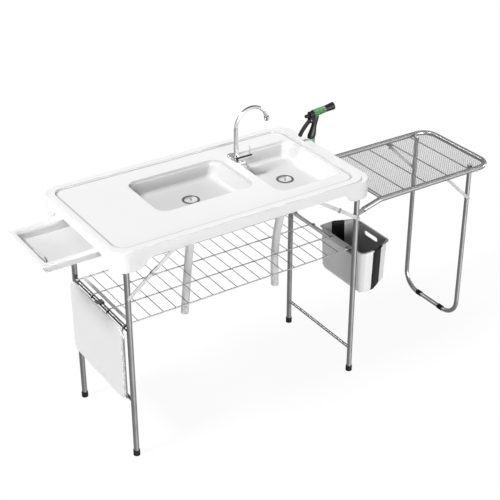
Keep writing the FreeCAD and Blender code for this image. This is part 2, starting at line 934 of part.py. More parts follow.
def headed_pin(centre, half, radius, head_radius, head_height):
    # A pin along y with a head at each end
    y0 = Vector(0, half, 0)
    y1 = Vector(0, half + head_height, 0)
    pin = rod(centre - y1, centre + y1, radius)
    return pin.fuse(rod(centre + y0, centre + y1, head_radius)).fuse(
        rod(centre - y1, centre - y0, head_radius)
    )


def make_frame_bolts():
    return Part.makeCompound(leg_bolts() + stay_rivets())


def leg_bolts():
    bolts = []
    for x in (left_leg_x, right_leg_x):
        for side in (-1, 1):
            centre = Vector(x, side * leg_y, leg_pivot)
            bolts.append(
                headed_pin(
                    centre, leg_radius + bracket_plate, bolt_radius, bolt_head_radius, bolt_head_height,
                )
            )
    # The bolts of the side table, of which the front one also holds the front stay
    inner = leg_y - leg_radius - side_lug_gap - side_lug_plate
    for side in (-1, 1):
        outer = leg_y + leg_radius + (stay_plate if side < 0 else 0)
        start = Vector(right_leg_x, side * inner, side_pivot_height)
        end = Vector(right_leg_x, side * outer, side_pivot_height)
        out = Vector(0, side * bolt_head_height, 0)
        free = Vector(0, side * side_lug_gap, 0)
        outer_head = rod(end, end + out, bolt_head_radius)
        inner_head = rod(start - out, start - free, bolt_head_radius)
        bolts.append(rod(start - out, end + out, bolt_radius).fuse(outer_head).fuse(inner_head))
    return bolts


def stay_ends(x, height):
    # The stay's lower pivot on the leg and its upper pivot under the worktop
    inward = 1 if x < 0 else -1
    return Vector(x, 0, height), Vector(x + inward * stay_top_reach, 0, stand_height - stay_top_depth)


def link(start, end, y, thickness):
    # A flat stay link with round ends, between two pivots at one depth
    along = (end - start).normalize()
    up = Vector(-along.z, 0, along.x) * (stay_width / 2)
    tip = along * (stay_width / 2)
    place = Vector(0, y, 0)
    edges = [
        Part.LineSegment(start + up + place, end + up + place).toShape(),
        Part.Arc(end + up + place, end + tip + place, end - up + place).toShape(),
        Part.LineSegment(end - up + place, start - up + place).toShape(),
        Part.Arc(start - up + place, start - tip + place, start + up + place).toShape(),
    ]
    return Part.Face(Part.Wire(edges)).extrude(Vector(0, thickness, 0))


def stay_lap_points(x, height):
    low, high = stay_ends(x, height)
    along = (high - low).normalize()
    middle = low + (high - low) * stay_lap_share
    return middle - along * (stay_lap / 2), middle + along * (stay_lap / 2)


stay_lower_y = -leg_y - leg_radius - stay_plate
stay_upper_y = stay_lower_y - stay_gap - stay_plate


def make_stay_lower(x, height):
    low, high = stay_ends(x, height)
    first, second = stay_lap_points(x, height)
    strip = link(low, second, stay_lower_y, stay_plate)
    pivot_radius = rivet_radius if x < 0 else bolt_radius
    for spot, radius in ((low, pivot_radius), (first, rivet_radius), (second, rivet_radius)):
        near = spot + Vector(0, stay_lower_y - overrun, 0)
        strip = strip.cut(rod(near, near + Vector(0, 2 * overrun, 0), radius))
    return strip


def make_stay_upper(x, height):
    low, high = stay_ends(x, height)
    first, second = stay_lap_points(x, height)
    strip = link(first, high, stay_upper_y, stay_plate)
    for spot in (first, second, high):
        near = spot + Vector(0, stay_upper_y - overrun, 0)
        strip = strip.cut(rod(near, near + Vector(0, 2 * overrun, 0), rivet_radius))
    return strip


def rivet(spot, y0, y1):
    # A rivet along y from y0 to y1, with a head outside each end
    shank = rod(
        spot + Vector(
            0, y0 - rivet_head_height, 0,
        ), spot + Vector(0, y1 + rivet_head_height, 0), rivet_radius,
    )
    first = rod(spot + Vector(0, y0 - rivet_head_height, 0), spot + Vector(0, y0, 0), rivet_head_radius)
    second = rod(spot + Vector(0, y1, 0), spot + Vector(0, y1 + rivet_head_height, 0), rivet_head_radius)
    return shank.fuse(first).fuse(second)


def stay_rivets():
    rivets = []
    for x, height in ((left_leg_x, left_stay_height), (right_leg_x, right_stay_height)):
        low, high = stay_ends(x, height)
        first, second = stay_lap_points(x, height)
        if x < 0:
            rivets.append(rivet(low, stay_lower_y, -leg_y + leg_radius))
        rivets.append(rivet(first, stay_upper_y, stay_lower_y + stay_plate))
        rivets.append(rivet(second, stay_upper_y, stay_lower_y + stay_plate))
        rivets.append(rivet(high, stay_upper_y, stay_lower_y + stay_plate))
    return rivets


def stay_brackets():
    brackets = []
    for x, height in ((left_leg_x, left_stay_height), (right_leg_x, right_stay_height)):
        low, high = stay_ends(x, height)
        half = stay_width / 2
        ear = block(
            high.x - half, high.x + half, stay_lower_y, stay_lower_y + stay_plate, high.z - half, deck_under,
        )
        foot = block(
            high.x - half, high.x + half, stay_lower_y, stay_lower_y + stay_width, deck_under - stay_plate,
            deck_under,
        )
        hole = rod(
            high + Vector(0, stay_lower_y - overrun, 0), high + Vector(0, stay_lower_y + overrun, 0),
            rivet_radius,
        )
        brackets.append(ear.fuse(foot).removeSplitter().cut(hole))
    return brackets


def make_stay_locks():
    # The catch that bridges the two links of each stay
    locks = []
    for x, height in ((left_leg_x, left_stay_height), (right_leg_x, right_stay_height)):
        first, second = stay_lap_points(x, height)
        low, high = stay_ends(x, height)
        along = (high - low).normalize()
        middle = low + (high - low) * stay_lap_share
        up = Vector(-along.z, 0, along.x)
        if up.z < 0:
            up = up * -1
        y0 = stay_upper_y - stay_gap - stay_plate
        base = middle - along * (stay_lock_length / 2) - up * (stay_lock_width / 2) + Vector(0, y0, 0)
        depth = stay_lower_y + stay_plate - y0
        corners = [
            base, base + along * stay_lock_length, base + along * stay_lock_length + up * stay_lock_width,
            base + up * stay_lock_width,
        ]
        body = Part.Face(Part.makePolygon(corners + [corners[0]])).extrude(Vector(0, depth, 0))
        slot_base = middle - along * stay_lock_length - up * (stay_width / 2) + Vector(0, stay_upper_y, 0)
        slot_corners = [
            slot_base, slot_base + along * (2 * stay_lock_length),
            slot_base + along * (2 * stay_lock_length) + up * stay_width, slot_base + up * stay_width,
        ]
        slot = Part.Face(Part.makePolygon(slot_corners + [slot_corners[0]])).extrude(
            Vector(0, depth + overrun, 0)
        )
        locks.append(body.cut(slot))
    return Part.makeCompound(locks)


def make_long_wires():
    wires = []
    for i in range(long_wire_count):
        y = -shelf_half_depth + i * shelf_wire_spacing
        left = left_leg_x - wire_bend
        right = right_leg_x + wire_bend
        low = upper_bar_height - shelf_hook_drop
        points = [
            Vector(left, y, low), Vector(left, y, wire_height), Vector(right, y, wire_height),
            Vector(right, y, low),
        ]
        wires.append(swept(route(points, [wire_bend, wire_bend]), long_wire_radius))
    return Part.makeCompound(wires)


def make_cross_wires():
    pieces = []
    z = wire_height + long_wire_radius + cross_wire_radius
    end = shelf_half_depth + shelf_side_overlap
    for i in range(cross_wire_count):
        x = cross_wire_start + i * cross_wire_spacing
        pieces.append(rod(Vector(x, -end, z), Vector(x, end, z), cross_wire_radius))
    low = wire_height + long_wire_radius
    for middle in (left_leg_x + shelf_bar_place, right_leg_x - shelf_bar_place):
        half = shelf_bar_width / 2
        pieces.append(block(middle - half, middle + half, -end, end, low, low + shelf_bar_thickness))
    return Part.makeCompound(pieces)


rail_x = left_leg_x - rail_place
board_back = rail_x - rail_radius - board_seat_gap


def make_board_rail():
    top = upper_bar_height
    points = [
        Vector(rail_x, -rail_half_width, rail_bottom), Vector(rail_x, -rail_half_width, top),
        Vector(rail_x, rail_half_width, top), Vector(rail_x, rail_half_width, rail_bottom),
    ]
    return swept(route(points, [rail_corner, rail_corner]), rail_radius)


def make_board():
    y0 = board_shift - board_width / 2
    y1 = board_shift + board_width / 2
    x = board_back - board_thickness
    corners = [
        Vector(x, y0, board_bottom), Vector(x, y1, board_bottom), Vector(x, y1, board_top),
        Vector(x, y0, board_top),
    ]
    board = Part.Face(outline(corners, [board_corner] * 4)).extrude(Vector(board_thickness, 0, 0))
    faces = [e for e in board.Edges if abs(e.BoundBox.XMax - e.BoundBox.XMin) < board_seat_gap]
    return board.makeFillet(board_edge_round, faces)


def make_board_hook():
    # A bent strip from the board's back over the rail and the crossbar
    y = hook_place - hook_width / 2
    over = upper_bar_height + upper_bar_radius + hook_clearance
    inner = left_leg_x + upper_bar_radius + hook_clearance
    low = upper_bar_height + upper_bar_radius - hook_drop
    strips = [
        block(board_back, inner + hook_plate, y, y + hook_width, over, over + hook_plate),
        block(inner, inner + hook_plate, y, y + hook_width, low, over + hook_plate),
    ]
    return strips[0].fuse(strips[1]).removeSplitter()


def bin_corners(inset, z):
    x0 = bin_face + inset
    x1 = bin_face + bin_bend
    x2 = bin_face + bin_reach - inset
    back = bin_back_width / 2 - inset
    front = bin_front_width / 2 - inset
    return [
        Vector(x0, bin_shift - back, z), Vector(x1, bin_shift - back, z), Vector(x2, bin_shift - front, z),
        Vector(x2, bin_shift + front, z), Vector(x1, bin_shift + back, z), Vector(x0, bin_shift + back, z),
    ]


def bin_wire(inset, z):
    return outline(bin_corners(inset, z), [bin_corner] * 6)


def bin_whole():
    low = bin_top - bin_height
    deep = bin_taper + bin_floor_round
    low_round = bin_floor_round * floor_round_share
    outer = Part.makeLoft([
        bin_wire(deep, low), bin_wire(bin_taper + low_round, low + low_round),
        bin_wire(bin_taper, low + bin_floor_round), bin_wire(0, bin_top),
    ], True, True)
    inner = Part.makeLoft([
        bin_wire(deep + bin_wall, low + bin_wall),
        bin_wire(bin_taper + bin_wall + low_round, low + bin_wall + low_round),
        bin_wire(bin_taper + bin_wall, low + bin_floor_round), bin_wire(bin_wall, bin_top + bin_wall),
    ], True, True)
    rim = prism(bin_wire(-bin_rim, bin_top - bin_rim_height), bin_rim_height)
    rim = rim.cut(block(bin_face - overrun - bin_rim, bin_face, -leg_gauge, leg_gauge, 0, stand_height))
    shell = outer.fuse(rim).cut(inner)
    end = bin_face + bin_reach
    slot_z = bin_top - bin_slot_depth
    half = bin_slot_length / 2
    rise = bin_slot_height / 2
    corners = [
        Vector(end - bin_corner - bin_taper, bin_shift - half, slot_z - rise),
        Vector(end - bin_corner - bin_taper, bin_shift + half, slot_z - rise),
        Vector(end - bin_corner - bin_taper, bin_shift + half, slot_z + rise),
        Vector(end - bin_corner - bin_taper, bin_shift - half, slot_z + rise),
    ]
    slot = Part.Face(outline(corners, [rise * bin_slot_round_share] * 4)).extrude(
        Vector(bin_corner + bin_taper + overrun, 0, 0)
    )
    return shell.cut(slot)


def bin_slice(x0, x1):
    reach = bin_back_width + bin_rim
    zone = block(x0, x1, bin_shift - reach, bin_shift + reach, 0, stand_height)
    return bin_whole().common(zone).removeSplitter()


def make_bin_back():
    return bin_slice(bin_face - overrun, bin_face + bin_straight)


def make_bin_band():
    return bin_slice(bin_face + bin_straight, bin_face + bin_straight + bin_band)


def make_bin_front():
    return bin_slice(bin_face + bin_straight + bin_band, bin_face + bin_reach + overrun + bin_rim)


def make_bin_hook():
    # A wide bent plate from the bin's back over the crossbar
    y = bin_shift + bin_hook_shift - bin_hook_width / 2
    over = upper_bar_height + upper_bar_radius + hook_clearance
    inner = right_leg_x - upper_bar_radius - hook_clearance
    low = over - bin_hook_drop
    plates = [
        block(inner - bin_hook_plate, bin_face, y, y + bin_hook_width, over, over + bin_hook_plate),
        block(inner - bin_hook_plate, inner, y, y + bin_hook_width, low, over + bin_hook_plate),
        block(bin_face - bin_hook_plate, bin_face, y, y + bin_hook_width, low, over + bin_hook_plate),
    ]
    return plates[0].fuse(plates[1]).fuse(plates[2]).removeSplitter()


def side_slope():
    # The way the side frame's end runs down to its bolt on the leg
    return Vector(side_start - right_leg_x, 0, side_height - side_pivot_height).normalize()


def make_side_frame():
    slope = side_slope()
    points = []
    radii = []
    for side in (-1, 1):
        y = side * side_half_width
        start = Vector(right_leg_x, y, side_pivot_height) + slope * (side_lug_length - leg_radius)
        points.append([start, Vector(side_start, y, side_height), Vector(side_end, y, side_height)])
    line = points[0] + points[1][::-1]
    radii = [side_bend, side_corner, side_corner, side_bend]
    frame = bent_tube(line, radii, side_radius, side_wall)
    across = Vector(-slope.z, 0, slope.x) * (side_lug_width / 2)
    for side in (-1, 1):
        inner = leg_y - leg_radius - side_lug_gap - side_lug_plate
        y0 = inner if side > 0 else -inner - side_lug_plate
        eye = Vector(right_leg_x, y0, side_pivot_height)
        far = eye + slope * side_lug_length
        edges = [
            Part.LineSegment(eye + across, far + across).toShape(),
            Part.LineSegment(far + across, far - across).toShape(),
            Part.LineSegment(far - across, eye - across).toShape(),
            Part.Arc(eye - across, eye - slope * (side_lug_width / 2), eye + across).toShape(),
        ]
        lug = Part.Face(Part.Wire(edges)).extrude(Vector(0, side_lug_plate, 0))
        hole = rod(
            eye - Vector(0, overrun, 0), eye + Vector(0, side_lug_plate + overrun, 0),
            bolt_radius + side_pin_clearance,
        )
        tab_x = side_leg_place - brace_top_back
        tab_x0 = tab_x - brace_tab_length / 2
        tab_x1 = tab_x + brace_tab_length / 2
        tab_in = side_leg_y + side_leg_radius + brace_plate
        seat = side_height - side_radius
        across_y = sorted((side * tab_in, side * side_half_width))
        down_y = sorted((side * tab_in, side * (tab_in + brace_plate)))
        tab = block(tab_x0, tab_x1, across_y[0], across_y[1], seat - brace_plate, seat + side_wall / 2)
        tab = tab.fuse(
            block(tab_x0, tab_x1, down_y[0], down_y[1], seat - brace_tab_depth, seat + side_wall / 2)
        )
        rivet_at = Vector(tab_x, side * tab_in, seat - brace_tab_depth / 2)
        tab_hole = rod(rivet_at - Vector(0, overrun, 0), rivet_at + Vector(0, overrun, 0), rivet_radius)
        frame = frame.fuse(lug.cut(hole)).fuse(tab.cut(tab_hole))
        joint = Vector(side_leg_place, side * side_half_width, side_height - side_joint_drop)
        reach = Vector(0, side_radius + overrun, 0)
        frame = frame.cut(rod(joint - reach, joint + reach, rivet_radius))
    return frame.removeSplitter()


def make_side_mesh():
    # A flat net: one sheet with rows of square gaps
    x0 = side_start
    x1 = side_end - side_radius
    y1 = side_half_width - side_radius
    corner = side_corner - side_radius
    outer = rectangle(x0, x1, -y1, y1, side_height)
    wires = [outline(outer, [mesh_border, corner, corner, mesh_border])]
    cell_x = (x1 - x0 - 2 * mesh_border) / mesh_columns
    cell_y = (2 * y1 - 2 * mesh_border) / mesh_rows
    for i in range(mesh_columns):
        for j in range(mesh_rows):
            gx = x0 + mesh_border + i * cell_x + mesh_strand / 2
            gy = -y1 + mesh_border + j * cell_y + mesh_strand / 2
            far_x = gx + cell_x - mesh_strand
            far_y = gy + cell_y - mesh_strand
            near_corner = far_x > x1 - corner / 2 and (gy < -y1 + corner / 2 or far_y > y1 - corner / 2)
            near_leg = far_x > side_leg_place - mesh_notch and gx < side_leg_place + mesh_notch
            near_leg = near_leg and (gy < -side_leg_y + mesh_notch or far_y > side_leg_y - mesh_notch)
            if near_corner or near_leg:
                continue
            spots = rectangle(gx, far_x, gy, far_y, side_height)[::-1]
            wires.append(Part.makePolygon(spots + [spots[0]]))
    sheet = Part.Face(wires).extrude(Vector(0, 0, mesh_thickness))
    for side in (-1, 1):
        base = Vector(side_leg_place, side * side_leg_y, side_height - overrun)
        hole = rod(base, base + Vector(0, 0, 2 * overrun), side_leg_radius + side_lug_gap)
        sheet = sheet.cut(hole)
    return sheet


def make_side_rods():
    rods = []
    z = side_height - side_rod_radius
    places = [side_start + side_rod_edge] + [
        side_rod_start + i * side_rod_spacing
        for i in range(side_rod_count)
    ]
    for x in places:
        bar = rod(Vector(x, -side_half_width, z), Vector(x, side_half_width, z), side_rod_radius)
        for side in (-1, 1):
            y = side * side_half_width
            bar = bar.cut(
                rod(
                    Vector(side_start - side_bend, y, side_height), Vector(side_end, y, side_height),
                    side_radius,
                )
            )
        rods.append(bar)
    return Part.makeCompound(rods)


def make_side_leg():
    top = side_height + side_leg_rise
    low = side_pad_radius
    points = [
        Vector(side_leg_place, -side_leg_y, top), Vector(side_leg_place, -side_leg_y, low),
        Vector(side_leg_place, side_leg_y, low), Vector(side_leg_place, side_leg_y, top),
    ]
    leg = bent_tube(points, [side_leg_bend, side_leg_bend], side_leg_radius, side_wall)
    for side in (-1, 1):
        for z in (side_height - side_joint_drop, side_height - brace_drop):
            spot = Vector(side_leg_place, side * side_leg_y, z)
            reach = Vector(0, side_leg_radius + overrun, 0)
            leg = leg.cut(rod(spot - reach, spot + reach, rivet_radius))
    return leg


def make_side_pads():
    pads = []
    for side in (-1, 1):
        y = side * side_pad_place
        half = side_pad_length / 2
        pads.append(pipe(
            Vector(side_leg_place, y - half, side_pad_radius), Vector(
                side_leg_place, y + half, side_pad_radius,
            ),
            side_pad_radius, side_leg_radius,
        ))
    return Part.makeCompound(pads)


def brace_points():
    top = Vector(side_leg_place - brace_top_back, 0, side_height - side_radius - brace_tab_depth / 2)
    return top, Vector(side_leg_place, 0, side_height - brace_drop)


def make_side_braces():
    top, low = brace_points()
    along = (low - top).normalize()
    up = Vector(-along.z, 0, along.x) * (brace_width / 2)
    tip = along * (brace_width / 2)
    braces = []
    for side in (-1, 1):
        inner = side_leg_y + side_leg_radius
        place = Vector(0, inner if side > 0 else -inner - brace_plate, 0)
        edges = [
            Part.LineSegment(top + up + place, low + up + place).toShape(),
            Part.Arc(low + up + place, low + tip + place, low - up + place).toShape(),
            Part.LineSegment(low - up + place, top - up + place).toShape(),
            Part.Arc(top - up + place, top - tip + place, top + up + place).toShape(),
        ]
        strip = Part.Face(Part.Wire(edges)).extrude(Vector(0, brace_plate, 0))
        for spot in (top, low):
            strip = strip.cut(
                rod(spot + place - Vector(0, overrun, 0), spot + place + Vector(0, overrun, 0), rivet_radius)
            )
        braces.append(strip)
    return Part.makeCompound(braces)


def make_side_bolts():
    # The rivets and spacers that hold the side leg and its braces, and the caps on the leg's ends
    pieces = []
    top, low = brace_points()
    joint = Vector(side_leg_place, 0, side_height - side_joint_drop)
    leg_in = side_leg_y - side_leg_radius
    leg_out = side_leg_y + side_leg_radius
    frame_in = side_half_width - side_radius
    frame_out = side_half_width + side_radius
    spans = (
        (top, leg_out, leg_out + 2 * brace_plate), (low, leg_in, leg_out + brace_plate),
        (joint, leg_in, frame_out),
    )
    for side in (-1, 1):
        for spot, first, second in spans:
            ends = sorted((side * first, side * second))
            piece = rivet(spot, ends[0], ends[1])
            if spot is joint:
                near = spot + Vector(0, side * leg_out, 0)
                far = spot + Vector(0, side * frame_in, 0)
                spacer = rod(near, far, side_spacer_radius)
                outer = rod(
                    joint + Vector(0, side * side_half_width, 0), joint + Vector(0, side * frame_out, 0),
                    rivet_radius,
                )
                tube = rod(
                    Vector(side_leg_place - side_spacer_radius, side * side_half_width, side_height),
                    Vector(
                        side_leg_place + side_spacer_radius, side * side_half_width, side_height,
                    ), side_radius,
                )
                piece = piece.fuse(spacer.cut(tube)).fuse(outer).removeSplitter()
            pieces.append(piece)
        base = Vector(side_leg_place, side * side_leg_y, side_height + side_leg_rise)
        dome = rod(base, base + Vector(0, 0, side_cap_height), side_leg_radius)
        round_edges = top_edges(dome, side_height + side_leg_rise + side_cap_height)
        pieces.append(dome.makeFillet(side_cap_height / 2, round_edges))
    return Part.makeCompound(pieces)


def tap_point(x, y, z):
    return Vector(tap_place_x + x, tap_place_y + y, deck_top + z)


def make_tap_base():
    half_x = tap_base_width / 2
    half_y = tap_base_length / 2
    base = slab(
        tap_place_x - half_x, tap_place_x + half_x, tap_place_y + tap_base_shift - half_y, tap_place_y + tap_base_shift + half_y,
        deck_top, deck_top + tap_base_height, half_x * tap_base_round_share,
    )
    return base.makeFillet(tap_base_round, top_edges(base, deck_top + tap_base_height))


def make_tap_body():
    base = tap_base_height
    top = tap_column_height + base
    column = Part.makeCone(tap_column_radius, tap_column_top_radius, tap_column_height, tap_point(0, 0, base))
    collar = rod(tap_point(0, 0, base), tap_point(0, 0, base + tap_collar_height), tap_collar_radius)
    axis_z = base + valve_rise
    valve = rod(
        tap_point(-valve_start, -valve_forward, axis_z),
        tap_point(valve_length - valve_start, -valve_forward, axis_z), valve_radius,
    )
    neck = rod(tap_point(0, -valve_forward, axis_z), tap_point(0, 0, axis_z), valve_neck_radius)
    body = column.fuse(collar).fuse(valve).fuse(neck)
    socket = rod(
        tap_point(0, 0, top - spout_socket), tap_point(0, 0, top + overrun), spout_radius + spout_clearance,
    )
    return body.cut(socket).removeSplitter()


def make_spout():
    start = tap_point(0, 0, tap_base_height + tap_column_height - spout_socket)
    rise = tap_point(0, 0, tap_base_height + tap_column_height)
    radius = spout_reach / (1 - math.cos(math.radians(spout_turn)))
    centre = rise + Vector(radius, 0, 0)

    def on_arch(turn):
        angle = math.radians(turn)
        return centre + Vector(-radius * math.cos(angle), 0, radius * math.sin(angle))

    end = on_arch(spout_turn)
    edges = [
        Part.LineSegment(start, rise).toShape(),
        Part.Arc(rise, on_arch(spout_turn / 2), end).toShape(),
    ]
    path = Part.Wire(edges)
    return swept(path, spout_radius).cut(swept(path, spout_radius - spout_wall))


def make_aerator():
    radius = spout_reach / (1 - math.cos(math.radians(spout_turn)))
    angle = math.radians(spout_turn)
    rise = tap_point(0, 0, tap_base_height + tap_column_height)
    end = rise + Vector(radius - radius * math.cos(angle), 0, radius * math.sin(angle))
    heading = Vector(math.sin(angle), 0, math.cos(angle))
    return pipe(end, end + heading * aerator_length, aerator_radius, spout_radius - spout_wall)


def make_tap_lever():
    axis_z = tap_base_height + valve_rise
    start = valve_length - valve_start + lever_hub_gap
    hub = rod(
        tap_point(start, -valve_forward, axis_z), tap_point(start + lever_hub_length, -valve_forward, axis_z),
        valve_radius,
    )
    middle = start + lever_hub_length / 2
    stick = rod(
        tap_point(middle, -valve_forward, axis_z), tap_point(
            middle, -valve_forward, axis_z + valve_radius + lever_rod_length,
        ),
        lever_rod_radius,
    )
    return hub.fuse(stick).removeSplitter()


def make_tap_shank():
    top = Vector(tap_place_x, tap_place_y, deck_top)
    low = top - Vector(0, 0, shank_length)
    nut_top = Vector(tap_place_x, tap_place_y, deck_under)
    nut = rod(nut_top - Vector(0, 0, shank_nut_height), nut_top, shank_nut_radius)
    return rod(low, top, shank_radius).fuse(nut).cut(rod(low, top, shank_bore)).removeSplitter()


def gun_point(x, z, y=0.0):
    return Vector(x, gun_place_y + y, z)


gun_heading = Vector(math.cos(math.radians(gun_tilt)), 0, math.sin(math.radians(gun_tilt)))


def gun_axis(distance):
    # A point on the barrel's axis, which is tilted up a little
    return Vector(gun_axis_x, gun_place_y, gun_axis_height) + gun_heading * distance


def gun_cone(start, end, first, second):
    return Part.makeCone(first, second, end - start, gun_axis(start), gun_heading)


def gun_barrel_solid():
    return gun_cone(gun_barrel_start, gun_head_start, gun_barrel_radius, gun_barrel_end_radius)


def make_gun_barrel():
    bore = rod(gun_axis(gun_barrel_start + gun_nozzle_depth), gun_axis(gun_head_start), gun_nozzle_bore)
    return gun_barrel_solid().cut(bore)


def make_gun_grip():
    rings = []
    grip_heights = [gun_seat_height + rise for rise in grip_rises]
    low, high = grip_heights[0], grip_heights[-1]
    for z, radius in zip(grip_heights, grip_radii):
        centre = gun_point(gun_place_x - grip_set_back + gun_lean * (z - low) / (high - low), z)
        rings.append(Part.Wire(Part.Ellipse(centre, radius, radius * grip_width_share).toShape()))
    handle = Part.makeLoft(rings, True, False)
    connector = rod(
        gun_point(gun_place_x, gun_seat_height), gun_point(gun_place_x, low), gun_connector_radius,
    )
    bore = rod(
        gun_point(gun_place_x, gun_seat_height), gun_point(
            gun_place_x, gun_seat_height + gun_connector_thread,
        ),
        gun_connector_bore,
    )
    housing = rod(gun_axis(gun_housing_start), gun_axis(gun_barrel_start), gun_housing_radius)
    cheek = trigger_width / 2
    cheeks = block(
        trigger_pivot_x - trigger_cheek_reach, gun_place_x + gun_lean - grip_set_back, gun_place_y - cheek - trigger_cheek,
        gun_place_y + cheek + trigger_cheek, trigger_pivot_z - trigger_thickness, gun_axis_height - trigger_thickness,
    )
    slot = block(
        gun_axis_x + gun_housing_start - 2 * overrun, trigger_pivot_x + trigger_thickness,
        gun_place_y - cheek - holder_clearance, gun_place_y + cheek + holder_clearance,
        trigger_pivot_z - 2 * trigger_thickness, trigger_pivot_z + trigger_thickness * trigger_slot_share,
    )
    grip = handle.fuse(connector).fuse(housing).fuse(cheeks).cut(gun_barrel_solid()).cut(slot).cut(bore)
    side = Vector(0, gun_housing_radius, 0)
    pin_at = gun_point(trigger_pivot_x, trigger_pivot_z)
    return grip.cut(rod(pin_at - side, pin_at + side, trigger_pin_radius)).removeSplitter()


def make_gun_trigger():
    half = trigger_thickness / 2
    top = Vector(trigger_pivot_x, 0, trigger_pivot_z)
    middle = Vector(trigger_middle_x, 0, trigger_middle_z)
    tip = Vector(trigger_tip_x, 0, trigger_tip_z)

    def side(spot, direction):
        normal = Vector(-direction.z, 0, direction.x).normalize()
        return spot + normal * half, spot - normal * half

    upper = (middle - top)
    lower = (tip - middle)
    top_a, top_b = side(top, upper)
    mid_a, mid_b = side(middle, upper + lower)
    tip_a, tip_b = side(tip, lower)
    place = Vector(0, gun_place_y - trigger_width / 2, 0)
    tip_end = tip + lower.normalize() * half
    top_end = top - upper.normalize() * half
    edges = [
        Part.Arc(top_a + place, mid_a + place, tip_a + place).toShape(),
        Part.Arc(tip_a + place, tip_end + place, tip_b + place).toShape(),
        Part.Arc(tip_b + place, mid_b + place, top_b + place).toShape(),
        Part.Arc(top_b + place, top_end + place, top_a + place).toShape(),
    ]
    lever = Part.Face(Part.Wire(edges)).extrude(Vector(0, trigger_width, 0))
    hole = rod(
        gun_point(trigger_pivot_x, trigger_pivot_z, -trigger_width), gun_point(
            trigger_pivot_x, trigger_pivot_z, trigger_width,
        ),
        trigger_pin_radius + spout_clearance,
    )
    return lever.cut(hole)


def make_gun_pin():
    half = trigger_width / 2 + trigger_cheek
    return rod(
        gun_point(
            trigger_pivot_x, trigger_pivot_z, -half,
        ), gun_point(trigger_pivot_x, trigger_pivot_z, half), trigger_pin_radius,
    )


def make_gun_head():
    head = gun_cone(gun_head_start, gun_end, gun_head_radius, gun_head_end_radius)
    return head.cut(rod(gun_axis(gun_end - gun_nozzle_depth), gun_axis(gun_end), gun_nozzle_bore))


def make_gun_knob():
    end = gun_housing_start - gun_knob_stem
    stem = rod(gun_axis(end), gun_axis(gun_housing_start), gun_knob_stem_radius)
    cap = rod(gun_axis(end - gun_knob_length), gun_axis(end), gun_knob_radius)
    return stem.fuse(cap).removeSplitter()


def make_gun_holder():
    # A plate on the skirt's right face with a ring for the gun's connector
    half = holder_width / 2
    face = worktop_right
    plate = block(
        face, face + holder_plate, gun_place_y - half, gun_place_y + half, gun_seat_height, gun_seat_height + holder_height,
    )
    inner = gun_connector_radius + holder_clearance
    outer = inner + holder_ring_wall
    low = gun_point(gun_place_x, gun_seat_height)
    high = gun_point(gun_place_x, gun_seat_height + holder_ring_height)
    arm = block(
        face, gun_place_x, gun_place_y - outer / 2, gun_place_y + outer / 2, gun_seat_height,
        gun_seat_height + holder_ring_height,
    )
    floor = rod(low - Vector(0, 0, holder_plate), low, outer)
    spout = rod(low - Vector(0, 0, 2 * holder_plate), low + Vector(0, 0, overrun), gun_connector_bore)
    holder = plate.fuse(rod(low, high, outer)).fuse(arm).fuse(floor).cut(rod(low, high, inner)).cut(spout)
    return holder.removeSplitter()


NODES = {
    "worktop": make_worktop,
    "worktop_skirt": make_skirt,
    "left_basin": make_left_basin,
    "right_basin": make_right_basin,
    "left_drain_flange": lambda: make_drain_flange(left_drain),
    "right_drain_flange": lambda: make_drain_flange(right_drain),
    "left_strainer": lambda: make_strainer(left_drain),
    "right_strainer": lambda: make_strainer(right_drain),
    "left_drain_tail": lambda: make_drain_tail(left_drain),
    "right_drain_tail": lambda: make_drain_tail(right_drain),
    "left_drain_hose": lambda: make_hose(left_drain, left_hose_route),
    "right_drain_hose": lambda: make_hose(right_drain, right_hose_route),
    "hose_clamps": make_hose_clamps,
    "drawer_tray": make_drawer,
    "drawer_runners": make_drawer_runners,
    "left_front_leg": lambda: make_leg(left_leg_x, -1),
    "left_back_leg": lambda: make_leg(left_leg_x, 1),
    "right_front_leg": lambda: make_leg(right_leg_x, -1),
    "right_back_leg": lambda: make_leg(right_leg_x, 1),
    "left_upper_crossbar": lambda: make_crossbar(left_leg_x, upper_bar_height, upper_bar_radius),
    "left_lower_crossbar": lambda: make_crossbar(left_leg_x, left_lower_bar_height, lower_bar_radius),
    "right_upper_crossbar": lambda: make_crossbar(right_leg_x, upper_bar_height, upper_bar_radius),
    "right_lower_crossbar": lambda: make_crossbar(right_leg_x, right_lower_bar_height, lower_bar_radius),
    "leg_feet": make_feet,
    "deck_brackets": make_deck_brackets,
    "frame_bolts": make_frame_bolts,
    "left_stay_lower": lambda: make_stay_lower(left_leg_x, left_stay_height),
    "left_stay_upper": lambda: make_stay_upper(left_leg_x, left_stay_height),
    "right_stay_lower": lambda: make_stay_lower(right_leg_x, right_stay_height),
    "right_stay_upper": lambda: make_stay_upper(right_leg_x, right_stay_height),
    "stay_locks": make_stay_locks,
    "shelf_long_wires": make_long_wires,
    "shelf_cross_wires": make_cross_wires,
    "board_rail": make_board_rail,
    "cutting_board": make_board,
    "board_hook": make_board_hook,
    "bin_back": make_bin_back,
    "bin_band": make_bin_band,
    "bin_front": make_bin_front,
    "bin_hook": make_bin_hook,
    "side_frame": make_side_frame,
    "side_mesh": make_side_mesh,
    "side_rods": make_side_rods,
    "side_leg": make_side_leg,
    "side_pads": make_side_pads,
    "side_braces": make_side_braces,
    "side_bolts": make_side_bolts,
    "tap_base": make_tap_base,
    "tap_body": make_tap_body,
    "tap_spout": make_spout,
    "tap_aerator": make_aerator,
    "tap_lever": make_tap_lever,
    "tap_shank": make_tap_shank,
    "gun_holder": make_gun_holder,
    "gun_grip": make_gun_grip,
    "gun_barrel": make_gun_barrel,
    "gun_trigger": make_gun_trigger,
    "gun_pin": make_gun_pin,
    "gun_head": make_gun_head,
    "gun_knob": make_gun_knob,
}


